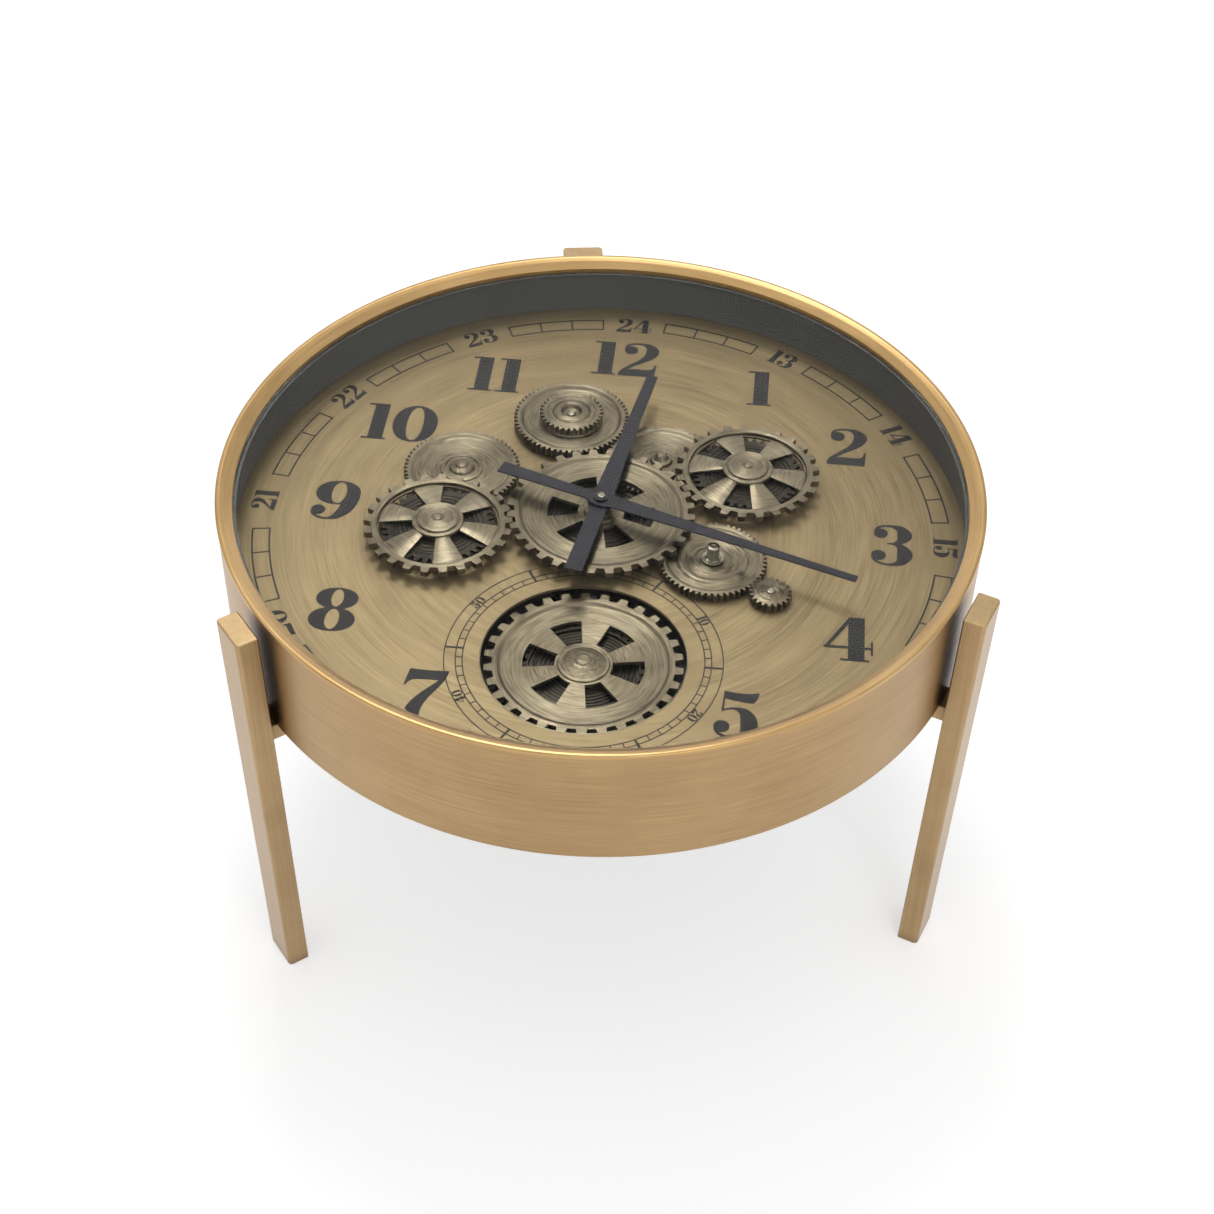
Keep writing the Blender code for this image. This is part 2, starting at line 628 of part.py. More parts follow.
def build_frame():
    for number, at in around(PILLAR_CIRCLE, PILLAR_COUNT, PILLAR_START):
        rod("pillar_" + number, at, PILLAR_RADIUS, BASE_TOP + TOUCH, DIAL_BOTTOM - TOUCH)
        screw_head("pillar_screw_" + number, at, DRUM_BOTTOM - TOUCH)
    for number, at in around(COVER_SCREW_CIRCLE, COVER_SCREW_COUNT, 0):
        screw_head("cover_screw_" + number, at, DRUM_BOTTOM - 2 * TOUCH - COVER_THICKNESS)
    for number, at in around(SPACER_CIRCLE, SPACER_COUNT, SPACER_START):
        rod("plate_spacer_" + number, at, SPACER_RADIUS, PLATE_TOP + TOUCH, DIAL_BOTTOM - TOUCH)


def build_legs():
    leg_top = TABLE_HEIGHT - LEG_TOP_DROP
    arm_top = DRUM_BOTTOM - TOUCH
    for name, direction in LEG_ANGLES.items():
        inset = LEG_END_ROUND
        loops = []
        for height, shrink in ((0, inset), (inset, 0), (leg_top - inset, 0), (leg_top, inset)):
            outline = rounded_rectangle(LEG_THICKNESS - 2 * shrink, LEG_WIDTH - 2 * shrink,
                                        LEG_EDGE_RADIUS - shrink / 2, height)
            lean = Vector((LEG_LEAN * (height / leg_top - 1), 0, 0))
            loops.append([point + lean for point in outline])
        middle = LEG_OUTER - LEG_THICKNESS / 2
        leg = add_object(name, stack(loops), BRASS, DRUM_CENTRE + polar(middle, direction), direction)
        arm = []
        for height, shrink in ((arm_top - ARM_HEIGHT, ARM_EDGE), (arm_top - ARM_HEIGHT + ARM_EDGE, 0),
                               (arm_top, 0)):
            outline = box(ARM_REACH - 2 * shrink, ARM_WIDTH - 2 * shrink, height, height,
                          Vector((-ARM_REACH / 2, 0, 0)))[0]
            arm.append(outline)
        shape(leg, stack(arm), "UNION")
        screw_head(name + "_screw", DRUM_CENTRE + polar(middle - ARM_REACH + ARM_SCREW_END, direction),
                   arm_top - ARM_HEIGHT - TOUCH)


def coarse_wheel(name, count, module, windows, hub_loops, hub_face, bored, at, turn):
    """A wheel with a flat toothed rim, a dished disc and six windows, carried on its hub."""
    root = root_radius(count, module, COG_DEDENDUM_SHARE)
    face = face_rings(root, COG_FACE_SHARES, -DISH_DEPTH, COG_HEIGHT)
    floor = ring(root * COG_FACE_SHARES[-1][0], 0, WHEEL_SIDES)
    loops = hub_loops + [floor, square_teeth(count, 0, module), square_teeth(count, COG_HEIGHT, module)]
    wheel = add_object(name, stack(loops + face + hub_face, bored), NICKEL, at, turn)
    shape(wheel, sector_cutter(windows["inner"], windows["outer"], windows["angle"], WINDOW_COUNT,
                               windows["facing"] - turn, -DISH_DEPTH, COG_HEIGHT), "DIFFERENCE")


def build_centre():
    disc = COG_HEIGHT - DISH_DEPTH
    foot = TOUCH - RUNNING
    neck = CENTRE_HUB_RADIUS * CENTRE_NECK_SHARE
    under = [ring(PIPE_CLEAR_BORE, foot, BORE_SIDES), ring(CENTRE_HUB_RADIUS, foot, HUB_SIDES),
             ring(CENTRE_HUB_RADIUS, 0, HUB_SIDES)]
    face = [ring(CENTRE_HUB_RADIUS, disc, HUB_SIDES),
            ring(CENTRE_HUB_RADIUS, disc + CENTRE_HUB_RISE, HUB_SIDES),
            ring(neck, disc + CENTRE_HUB_RISE, HUB_SIDES),
            ring(neck, disc + 3 * CENTRE_HUB_RISE, HUB_SIDES),
            ring(PIPE_CLEAR_BORE, disc + 3 * CENTRE_HUB_RISE, BORE_SIDES)]
    coarse_wheel("centre_wheel", CENTRE_COGS, COG_MODULE, CENTRE_WINDOWS, under, face, True,
                 with_height(DRUM_CENTRE, COG_BOTTOM), CENTRE_TURN)
    tube_end = DRIVE_TOP + TOUCH
    loops = [ring(PIPE_CLEAR_BORE, tube_end, BORE_SIDES), ring(DRIVE_HUB_RADIUS, tube_end, HUB_SIDES),
             ring(DRIVE_HUB_RADIUS, LOWER_BOTTOM, HUB_SIDES),
             pointed_teeth(CENTRE_DISC_TEETH, LOWER_BOTTOM), pointed_teeth(CENTRE_DISC_TEETH, LOWER_TOP),
             ring(CENTRE_WINDOWS["inner"], LOWER_TOP, HUB_SIDES),
             ring(CENTRE_WINDOWS["inner"], UPPER_TOP, HUB_SIDES),
             ring(PIPE_CLEAR_BORE, UPPER_TOP, BORE_SIDES)]
    add_object("centre_disc_gear", stack(loops, bored=True), DARK_NICKEL, DRUM_CENTRE, CENTRE_TURN)


def build_spoked(name, at, turn, facing):
    """A spoked wheel, open underneath, that sits over the end of its post."""
    root = root_radius(SPOKED_COGS, COG_MODULE, COG_DEDENDUM_SHARE)
    inner = root - SPOKED_RING_WIDTH
    button = SPOKE_TOP + BUTTON_RISE
    blind = SPOKE_TOP - SPOKE_THICKNESS
    foot = COG_HEIGHT - SPOKED_RING_DEPTH
    crown = (inner + BUTTON_RADIUS) / 2
    crown_top = foot + (SPOKE_TOP - foot) * SPOKE_CROWN_SHARE
    sleeve = POST_BORE + SPOKE_THICKNESS
    sleeve_end = NESTED_HEIGHT + 2 * TOUCH
    loops = [ring(POST_BORE, blind, BORE_SIDES), ring(POST_BORE, sleeve_end, BORE_SIDES),
             ring(sleeve, sleeve_end, SMALL_SIDES), ring(sleeve, blind, SMALL_SIDES),
             ring(BUTTON_RADIUS, blind, HUB_SIDES), ring(inner, foot - SPOKE_THICKNESS, WHEEL_SIDES),
             ring(inner, 0, WHEEL_SIDES),
             square_teeth(SPOKED_COGS, 0), square_teeth(SPOKED_COGS, COG_HEIGHT),
             ring(inner, COG_HEIGHT, WHEEL_SIDES), ring(inner, foot, WHEEL_SIDES),
             ring(crown, crown_top, WHEEL_SIDES), ring(BUTTON_RADIUS, SPOKE_TOP, BUTTON_SIDES),
             ring(BUTTON_RADIUS, button - BUTTON_EDGE, BUTTON_SIDES),
             ring(BUTTON_RADIUS - BUTTON_EDGE, button, BUTTON_SIDES),
             ring(BUTTON_RADIUS / 4, button + BUTTON_DOME, HUB_SIDES)]
    wheel = add_object(name, stack(loops), NICKEL, with_height(at, COG_BOTTOM), turn)
    margin = BUTTON_EDGE / 2
    shape(wheel, sector_cutter(BUTTON_RADIUS + margin, inner - margin, SPOKE_GAPS, SPOKE_COUNT,
                               facing - turn, -SPOKE_THICKNESS, button + BUTTON_RISE), "DIFFERENCE")


def build_nested(name, teeth, bottom, top, at, turn):
    """The pinion under a spoked wheel and the fine disc that shows between its spokes."""
    disc_bottom = COG_BOTTOM + TOUCH
    loops = [ring(POST_BORE, bottom, BORE_SIDES), pointed_teeth(teeth, bottom),
             pointed_teeth(teeth, top), ring(NESTED_NECK, top, HUB_SIDES),
             ring(NESTED_NECK, disc_bottom, HUB_SIDES),
             pointed_teeth(NESTED_TEETH, disc_bottom, NESTED_MODULE),
             pointed_teeth(NESTED_TEETH, disc_bottom + NESTED_HEIGHT, NESTED_MODULE),
             ring(POST_BORE, disc_bottom + NESTED_HEIGHT, BORE_SIDES)]
    add_object(name, stack(loops, bored=True), DARK_NICKEL, at, turn)


def face_rings(radius, shares, rise, height, sides=WHEEL_SIDES):
    return [ring(radius * share, height + rise * lift, sides) for share, lift in shares]


def build_fine_wheels():
    full = UPPER_TOP - LOWER_BOTTOM
    root = root_radius(UPPER_LEFT_TEETH, FINE_MODULE)
    loops = [ring(POST_BORE, full / 2, BORE_SIDES), ring(POST_BORE, 0, BORE_SIDES),
             pointed_teeth(UPPER_LEFT_TEETH, 0), pointed_teeth(UPPER_LEFT_TEETH, full)]
    loops += face_rings(root, DISHED_FACE_SHARES, -FACE_DISH, full)
    loops += face_rings(DOME_RADIUS, DOME_SHARES, DOME_RISE, full - FACE_DISH, HUB_SIDES)
    add_object("upper_left_wheel", stack(loops), NICKEL, with_height(UPPER_LEFT_AT, LOWER_BOTTOM),
               UPPER_LEFT_TURN)

    root = root_radius(TOP_TEETH, FINE_MODULE)
    small_root = root_radius(TOP_SMALL_TEETH, FINE_MODULE)
    loops = [ring(POST_BORE, 0, BORE_SIDES), pointed_teeth(TOP_TEETH, 0),
             pointed_teeth(TOP_TEETH, TOP_TEETH_HEIGHT)]
    loops += face_rings(root, DISHED_FACE_SHARES, -FACE_DISH, TOP_TEETH_HEIGHT)
    loops += [ring(small_root, TOP_TEETH_HEIGHT - FACE_DISH, WHEEL_SIDES),
              ring(small_root, TOP_TEETH_HEIGHT, WHEEL_SIDES),
              ring(POST_BORE, TOP_TEETH_HEIGHT, BORE_SIDES)]
    add_object("top_wheel", stack(loops, bored=True), NICKEL, with_height(TOP_AT, LOWER_BOTTOM),
               TOP_TURN)

    loops = [ring(POST_BORE, 0, BORE_SIDES), pointed_teeth(TOP_SMALL_TEETH, 0),
             pointed_teeth(TOP_SMALL_TEETH, TOP_SMALL_HEIGHT),
             *face_rings(small_root, TOP_SMALL_FACE_SHARES, SMALL_FACE_RISE, TOP_SMALL_HEIGHT, HUB_SIDES)]
    loops += [ring(POST_BORE, loops[-1][0].z, BORE_SIDES)]
    add_object("top_small_wheel", stack(loops, bored=True), NICKEL,
               with_height(TOP_AT, LOWER_BOTTOM + TOP_TEETH_HEIGHT + TOUCH), TOP_TURN)

    root = root_radius(UPPER_RIGHT_TEETH, FINE_MODULE)
    hub_drop = UPPER_BOTTOM - LOWER_BOTTOM
    loops = [ring(POST_BORE, 0, BORE_SIDES), ring(POST_BORE, -hub_drop, BORE_SIDES),
             ring(DOME_RADIUS, -hub_drop, HUB_SIDES), ring(DOME_RADIUS, 0, HUB_SIDES),
             pointed_teeth(UPPER_RIGHT_TEETH, 0), pointed_teeth(UPPER_RIGHT_TEETH, UPPER_LAYER)]
    loops += face_rings(root, DISHED_FACE_SHARES, -FACE_DISH, UPPER_LAYER)
    loops += face_rings(LOW_DOME_RADIUS, DOME_SHARES, 2 * DOME_RISE, UPPER_LAYER - FACE_DISH, HUB_SIDES)
    add_object("upper_right_wheel", stack(loops), NICKEL,
               with_height(UPPER_RIGHT_AT, UPPER_BOTTOM), UPPER_RIGHT_TURN)

    root = root_radius(LOWER_RIGHT_TEETH, FINE_MODULE)
    loops = [ring(TALL_BORE, 0, BORE_SIDES), pointed_teeth(LOWER_RIGHT_TEETH, 0),
             pointed_teeth(LOWER_RIGHT_TEETH, full)]
    loops += face_rings(root, STEPPED_FACE_SHARES, -FACE_DISH, full)
    loops += [ring(TALL_BORE, full, BORE_SIDES)]
    add_object("lower_right_wheel", stack(loops, bored=True), NICKEL,
               with_height(LOWER_RIGHT_AT, LOWER_BOTTOM), LOWER_RIGHT_TURN)

    root = root_radius(SMALL_PINION_TEETH, FINE_MODULE)
    loops = [ring(POST_BORE, 0, BORE_SIDES), pointed_teeth(SMALL_PINION_TEETH, 0),
             pointed_teeth(SMALL_PINION_TEETH, full)]
    loops += face_rings(root, SMALL_FACE_SHARES, SMALL_FACE_RISE, full, HUB_SIDES)
    loops += [ring(POST_BORE, full + SMALL_FACE_RISE, BORE_SIDES)]
    add_object("small_pinion", stack(loops, bored=True), NICKEL,
               with_height(SMALL_PINION_AT, LOWER_BOTTOM), SMALL_PINION_TURN)


def footed_post(foot_radius, foot, foot_top, radius, end):
    return [ring(foot_radius, foot, SMALL_SIDES), ring(foot_radius, foot_top, SMALL_SIDES),
            ring(radius, foot_top, SMALL_SIDES), ring(radius, end, SMALL_SIDES)]


def build_posts():
    """Fixed pins with a foot on the dial, one for each wheel that runs above it."""
    foot = DIAL_TOP + TOUCH
    full = UPPER_TOP - LOWER_BOTTOM
    sleeve_end = COG_BOTTOM + SPOKE_TOP - SPOKE_THICKNESS - TOUCH
    top_end = LOWER_BOTTOM + TOP_TEETH_HEIGHT + TOUCH + TOP_SMALL_HEIGHT / 2
    posts = (("left_post", LEFT_AT, sleeve_end), ("right_post", RIGHT_AT, sleeve_end),
             ("upper_left_post", UPPER_LEFT_AT, LOWER_BOTTOM + full / 2 - TOUCH),
             ("upper_right_post", UPPER_RIGHT_AT, UPPER_BOTTOM - TOUCH),
             ("top_post", TOP_AT, top_end + RIVET_PROUD),
             ("pinion_post", SMALL_PINION_AT, LOWER_BOTTOM + full + SMALL_FACE_RISE + RIVET_PROUD))
    for name, at, end in posts:
        loops = footed_post(POST_FOOT_RADIUS, foot, foot + POST_FOOT, POST_RADIUS, end)
        add_object(name, stack(loops), STEEL, at)
    face = LOWER_BOTTOM + full + TOUCH
    collar_end = face + TALL_COLLAR_HEIGHT
    tall_end = DIAL_TOP + TALL_POST_HEIGHT
    loops = [ring(POST_FOOT_RADIUS, foot, SMALL_SIDES),
             ring(POST_FOOT_RADIUS, foot + POST_FOOT, SMALL_SIDES),
             ring(TALL_POST_RADIUS, foot + POST_FOOT, HUB_SIDES),
             ring(TALL_POST_RADIUS, face, HUB_SIDES), ring(TALL_POST_COLLAR_RADIUS, face, HUB_SIDES),
             ring(TALL_POST_COLLAR_RADIUS, collar_end, HUB_SIDES),
             ring(TALL_POST_RADIUS, collar_end, HUB_SIDES), ring(TALL_POST_RADIUS, tall_end, HUB_SIDES),
             ring(TALL_POST_RADIUS / 2, tall_end, HUB_SIDES),
             ring(TALL_POST_RADIUS / 2, tall_end - RIVET_PROUD, HUB_SIDES)]
    add_object("tall_post", stack(loops), STEEL, LOWER_RIGHT_AT)


def build_under_dial():
    """The movement plate and the drive wheels between it and the dial."""
    movement_plate = plate([ring(PLATE_RADIUS, 0, WIDE_SIDES), ring(PIPE_CLEAR_BORE, 0, BORE_SIDES),
                            [p + MOTOR_AT - DRUM_CENTRE
                             for p in ring(MOTOR_BOSS_RADIUS + TOUCH, 0, BORE_SIDES)]],
                           PLATE_BOTTOM, PLATE_TOP)
    carrier = add_object("movement_plate", movement_plate, BLACK, DRUM_CENTRE)
    subdial_end = SUBDIAL_BOTTOM - TOUCH
    for at, end in ((IDLER_AT, DRIVE_TOP + TOUCH), (SUBDIAL_AT, subdial_end)):
        loops = footed_post(POST_FOOT_RADIUS, PLATE_BOTTOM + PLATE_THICKNESS / 2, DRIVE_REST,
                            POST_RADIUS, end)
        shape(carrier, add_stack(bmesh.new(), loops, at=at - DRUM_CENTRE), "UNION")

    nut_top = PLATE_TOP + TOUCH + NUT_HEIGHT
    nut = [ring(PIPE_CLEAR_BORE, PLATE_TOP + TOUCH, BORE_SIDES), ring(NUT_RADIUS, PLATE_TOP + TOUCH, 6),
           ring(NUT_RADIUS, nut_top, 6), ring(PIPE_CLEAR_BORE, nut_top, BORE_SIDES)]
    add_object("movement_nut", stack(nut, bored=True), BRASS, DRUM_CENTRE)

    drive_teeth = [pointed_teeth(DRIVE_TEETH, height, DRIVE_MODULE)
                   for height in (DRIVE_BOTTOM, DRIVE_TOP)]
    hub_bottom = nut_top + TOUCH
    loops = [ring(PIPE_CLEAR_BORE, hub_bottom, BORE_SIDES), ring(DRIVE_HUB_RADIUS, hub_bottom, HUB_SIDES),
             ring(DRIVE_HUB_RADIUS, DRIVE_BOTTOM, HUB_SIDES)]
    loops += drive_teeth + [ring(PIPE_CLEAR_BORE, DRIVE_TOP, BORE_SIDES)]
    add_object("centre_drive_gear", stack(loops, bored=True), DARK_NICKEL, DRUM_CENTRE, CENTRE_TURN)

    loops = [ring(POST_BORE, DRIVE_BOTTOM, BORE_SIDES),
             pointed_teeth(IDLER_TEETH, DRIVE_BOTTOM, DRIVE_MODULE),
             pointed_teeth(IDLER_TEETH, DRIVE_TOP, DRIVE_MODULE), ring(POST_BORE, DRIVE_TOP, BORE_SIDES)]
    add_object("idler_gear", stack(loops, bored=True), DARK_NICKEL, IDLER_AT, IDLER_TURN)

    loops = [ring(POST_BORE, DRIVE_BOTTOM, BORE_SIDES)] + drive_teeth
    loops += [ring(POST_BORE, DRIVE_TOP, BORE_SIDES)]
    add_object("subdial_drive_gear", stack(loops, bored=True), DARK_NICKEL, SUBDIAL_AT, SUBDIAL_TURN)

    foot = DRIVE_TOP + TOUCH - SUBDIAL_BOTTOM
    under = [ring(POST_BORE, 0, BORE_SIDES), ring(POST_BORE, foot, BORE_SIDES),
             ring(CENTRE_HUB_RADIUS, foot, HUB_SIDES), ring(CENTRE_HUB_RADIUS, 0, HUB_SIDES)]
    dome = face_rings(SUBDIAL_HUB_RADIUS, SUBDIAL_DOME_SHARES, SUBDIAL_HUB_RISE,
                      COG_HEIGHT - DISH_DEPTH, HUB_SIDES)
    coarse_wheel("subdial_wheel", SUBDIAL_COGS, SUBDIAL_COG_MODULE, SUBDIAL_WINDOWS, under, dome, False,
                 with_height(SUBDIAL_AT, SUBDIAL_BOTTOM), SUBDIAL_TURN)


def build_motor():
    top = PLATE_BOTTOM - TOUCH
    shaft_end = DRIVE_BOTTOM - TOUCH
    loops = [ring(MOTOR_RADIUS, top - MOTOR_HEIGHT, HUB_SIDES), ring(MOTOR_RADIUS, top, HUB_SIDES),
             ring(MOTOR_BOSS_RADIUS, top, BORE_SIDES), ring(MOTOR_BOSS_RADIUS, PLATE_TOP, BORE_SIDES),
             ring(MOTOR_SHAFT_RADIUS, PLATE_TOP, BORE_SIDES), ring(MOTOR_SHAFT_RADIUS, shaft_end, BORE_SIDES)]
    add_object("gear_motor", stack(loops), STEEL, MOTOR_AT)
    pinion = [pointed_teeth(MOTOR_TEETH, height, DRIVE_MODULE) for height in (DRIVE_BOTTOM, DRIVE_TOP)]
    add_object("motor_pinion", stack(pinion), BRASS, MOTOR_AT, MOTOR_TURN)


def build_battery_box():
    top = PLATE_BOTTOM - TOUCH
    length, width = BOX_SIZE
    middle = Vector((*BOX_OFFSET, 0))
    outer = box(length, width, top - BOX_HEIGHT, top)
    tray = add_object("battery_box", stack(outer), BLACK, DRUM_CENTRE + middle, smooth=False)
    shape(tray, stack(box(length - 2 * BOX_WALL, width - 2 * BOX_WALL, top - BOX_HEIGHT - BOX_WALL,
                          top - BOX_WALL)), "DIFFERENCE")
    for side in (-1, 1):
        spread = Vector((side * (CELL_RADIUS + TOUCH), 0, top - BOX_WALL - TOUCH - CELL_RADIUS))
        add_cell("box_cell_" + ("right" if side > 0 else "left"), DRUM_CENTRE + middle + spread)


def add_cell(name, at, turn=0.0):
    """A round battery cell lying along Y."""
    loops = []
    for end in (-CELL_LENGTH / 2, CELL_LENGTH / 2):
        loops.append([Vector((point.x, end, point.y)) for point in ring(CELL_RADIUS, 0, SMALL_SIDES)])
    add_object(name, stack(loops), STEEL, at, turn)


def build_movement():
    """Quartz movement under the plate, with the threaded pipe that carries the hands."""
    top = PLATE_BOTTOM - TOUCH
    case = stack(box(MOVEMENT_SIZE, MOVEMENT_SIZE, top - MOVEMENT_HEIGHT, top))
    movement = add_object("clock_movement", case, BLACK, DRUM_CENTRE, smooth=False)
    pipe = [ring(PIPE_RADIUS, top - MOVEMENT_HEIGHT / 2, BORE_SIDES), ring(PIPE_RADIUS, PIPE_END, BORE_SIDES)]
    shape(movement, stack(pipe), "UNION")
    bore = [ring(PIPE_BORE, PIPE_END - PIPE_BORE_DEPTH, BORE_SIDES),
            ring(PIPE_BORE, PIPE_END + PIPE_BORE, BORE_SIDES)]
    shape(movement, stack(bore), "DIFFERENCE")
    bay_width = 2 * (CELL_RADIUS + 2 * TOUCH)
    bay = box(MOVEMENT_SIZE - 2 * BOX_WALL, bay_width, top - MOVEMENT_HEIGHT - BOX_WALL, top - BOX_WALL,
              Vector((0, -CELL_OFFSET, 0)))
    shape(movement, stack(bay), "DIFFERENCE")

    cell_height = top - BOX_WALL - TOUCH - CELL_RADIUS
    add_cell("clock_cell", DRUM_CENTRE + Vector((0, -CELL_OFFSET, cell_height)), pi / 2)

    knob_top = top - MOVEMENT_HEIGHT - TOUCH
    loops = []
    for height in (knob_top - KNOB_HEIGHT, knob_top):
        loops.append([point * (1 if i % 2 else KNOB_RIB_SHARE) + Vector((0, 0, height))
                      for i, point in enumerate(ring(KNOB_RADIUS, 0, 2 * KNOB_RIBS))])
    add_object("setting_knob", stack(loops), BLACK, DRUM_CENTRE + Vector((0, KNOB_OFFSET, 0)))


def hand_outline(length, tail, widths, hub):
    """A tapering blade along +Y with a round hub and a tail that widens to its end."""
    root = HAND_ROOT
    side = [Vector((widths["tip"] / 2, length, 0)), Vector((widths["root"] / 2, root, 0)),
            Vector((hub, hub / 2, 0)), Vector((hub, -hub / 2, 0)),
            Vector((widths["tail_root"] / 2, -root, 0)),
            Vector((widths["tail"] / 2, -tail, 0))]
    return side + [Vector((-point.x, point.y, 0)) for point in reversed(side)]


def build_hands():
    collar_end = HOUR_BOTTOM + HOUR_COLLAR_HEIGHT
    blade = plate([hand_outline(HOUR_LENGTH, HOUR_TAIL, HOUR_WIDTHS, HOUR_HUB)], collar_end,
                  collar_end + HAND_THICKNESS)
    hour = add_object("hour_hand", blade, BLACK, DRUM_CENTRE, DIAL_TURN - HOUR_ANGLE, smooth=False)
    collar = [ring(HOUR_TUBE_RADIUS, HOUR_BOTTOM - HOUR_TUBE_DEPTH, BORE_SIDES),
              ring(HOUR_TUBE_RADIUS, HOUR_BOTTOM, BORE_SIDES),
              ring(HOUR_COLLAR_RADIUS, HOUR_BOTTOM, HUB_SIDES),
              ring(HOUR_COLLAR_RADIUS, collar_end + HAND_THICKNESS / 2, HUB_SIDES)]
    shape(hour, stack(collar), "UNION")
    bore = [ring(HOUR_TUBE_BORE, HOUR_BOTTOM - 2 * HOUR_TUBE_DEPTH, BORE_SIDES),
            ring(HOUR_TUBE_BORE, collar_end + 2 * HAND_THICKNESS, BORE_SIDES)]
    shape(hour, stack(bore), "DIFFERENCE")

    collar_end = MINUTE_BOTTOM + MINUTE_COLLAR_HEIGHT
    blade = plate([hand_outline(MINUTE_LENGTH, MINUTE_TAIL, MINUTE_WIDTHS, MINUTE_HUB)], collar_end,
                  collar_end + HAND_THICKNESS)
    minute = add_object("minute_hand", blade, BLACK, DRUM_CENTRE, DIAL_TURN - MINUTE_ANGLE,
                        smooth=False)
    collar = [ring(MINUTE_SHAFT_RADIUS, MINUTE_BOTTOM - MINUTE_SHAFT_DEPTH, BORE_SIDES),
              ring(MINUTE_SHAFT_RADIUS, MINUTE_BOTTOM, BORE_SIDES),
              ring(MINUTE_COLLAR_RADIUS, MINUTE_BOTTOM, HUB_SIDES),
              ring(MINUTE_COLLAR_RADIUS, collar_end + HAND_THICKNESS / 2, HUB_SIDES)]
    shape(minute, stack(collar), "UNION")

    nut_bottom = collar_end + HAND_THICKNESS + TOUCH
    nut = [ring(HAND_NUT_RADIUS * share, nut_bottom + HAND_NUT_HEIGHT * rise, HUB_SIDES)
           for share, rise in HAND_NUT_SHARES]
    add_object("hand_nut", stack(nut), STEEL, DRUM_CENTRE, DIAL_TURN - MINUTE_ANGLE)


build_rim()
build_drum()
build_frame()
build_legs()
build_centre()
build_spoked("left_spoked_wheel", LEFT_AT, LEFT_TURN, LEFT_GAPS_FACING)
build_nested("left_under_gear", LEFT_PINION_TEETH, LOWER_BOTTOM, LOWER_TOP, LEFT_AT, LEFT_TURN)
build_spoked("right_spoked_wheel", RIGHT_AT, RIGHT_TURN, RIGHT_GAPS_FACING)
build_nested("right_under_gear", RIGHT_PINION_TEETH, UPPER_BOTTOM, UPPER_TOP, RIGHT_AT, RIGHT_TURN)
build_fine_wheels()
build_posts()
build_under_dial()
build_motor()
build_battery_box()
build_movement()
build_hands()
keep_cuts_crisp([piece for piece in bpy.data.objects if piece.modifiers])
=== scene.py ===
import json
from functools import partial
from math import atan2, cos, hypot, pi, radians, sin
import bmesh
import bpy
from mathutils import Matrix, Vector
from mathutils.geometry import delaunay_2d_cdt


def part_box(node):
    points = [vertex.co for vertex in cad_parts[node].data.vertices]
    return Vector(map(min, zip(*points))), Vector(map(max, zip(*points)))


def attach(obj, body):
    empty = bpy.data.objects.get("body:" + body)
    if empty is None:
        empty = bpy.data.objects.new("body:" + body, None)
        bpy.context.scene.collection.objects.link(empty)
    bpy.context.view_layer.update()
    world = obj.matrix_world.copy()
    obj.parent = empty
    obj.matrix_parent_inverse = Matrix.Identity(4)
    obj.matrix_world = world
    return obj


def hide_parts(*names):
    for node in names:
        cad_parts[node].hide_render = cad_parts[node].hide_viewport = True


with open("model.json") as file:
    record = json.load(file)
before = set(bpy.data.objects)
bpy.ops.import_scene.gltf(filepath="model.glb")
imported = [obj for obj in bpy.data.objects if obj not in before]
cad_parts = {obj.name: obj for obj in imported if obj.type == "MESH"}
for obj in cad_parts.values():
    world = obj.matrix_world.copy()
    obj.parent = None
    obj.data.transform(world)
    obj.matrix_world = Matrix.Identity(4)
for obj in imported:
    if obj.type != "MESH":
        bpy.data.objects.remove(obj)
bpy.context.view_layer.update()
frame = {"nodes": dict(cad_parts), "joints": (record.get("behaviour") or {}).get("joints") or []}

scene = bpy.context.scene
scene.view_settings.view_transform = "Standard"


def polar(distance, direction, height=0.0):
    return Vector((distance * cos(direction), distance * sin(direction), height))


def ring(radius, height, sides):
    return [polar(radius, 2 * pi * i / sides, height) for i in range(sides)]


def fillBetween(mesh, loops):
    # a flat face between closed loops that lie at one height
    edges = []
    for corners in loops:
        for start, end in zip(corners, corners[1:] + corners[:1]):
            edges.append(mesh.edges.get((start, end)) or mesh.edges.new((start, end)))
    bmesh.ops.triangle_fill(mesh, use_beauty=True, edges=edges, normal=(0, 0, 1))


def skin(mesh, first, second):
    # faces between two closed loops, which lie at one height where their numbers of corners differ
    count = len(first)
    if count != len(second):
        fillBetween(mesh, (first, second))
        return
    for i in range(count):
        mesh.faces.new((first[i], first[(i + 1) % count], second[(i + 1) % count], second[i]))


def addStack(mesh, loops, bored=False):
    rows = [[mesh.verts.new(point) for point in loop] for loop in loops]
    for first, second in zip(rows, rows[1:]):
        skin(mesh, first, second)
    if bored:
        skin(mesh, rows[-1], rows[0])
    else:
        mesh.faces.new(rows[0])
        mesh.faces.new(rows[-1])
    return mesh


def rounded(corners, steps=4, closed=False):
    # a section through corners (x, y, rounding), each with a small curve in its place
    points = []
    count = len(corners)
    for i, (x, y, rounding) in enumerate(corners):
        here = Vector((x, y))
        if not rounding or (not closed and i in (0, count - 1)):
            points.append(here)
            continue
        start = here + (Vector(corners[i - 1][:2]) - here).normalized() * rounding
        end = here + (Vector(corners[(i + 1) % count][:2]) - here).normalized() * rounding
        for step in range(steps + 1):
            t = step / steps
            points.append(start * (1 - t) ** 2 + here * 2 * t * (1 - t) + end * t * t)
    return points


def tenths(rows):
    # rows of tenths of a millimetre in metres
    return [[value / 10000 for value in row] for row in rows]


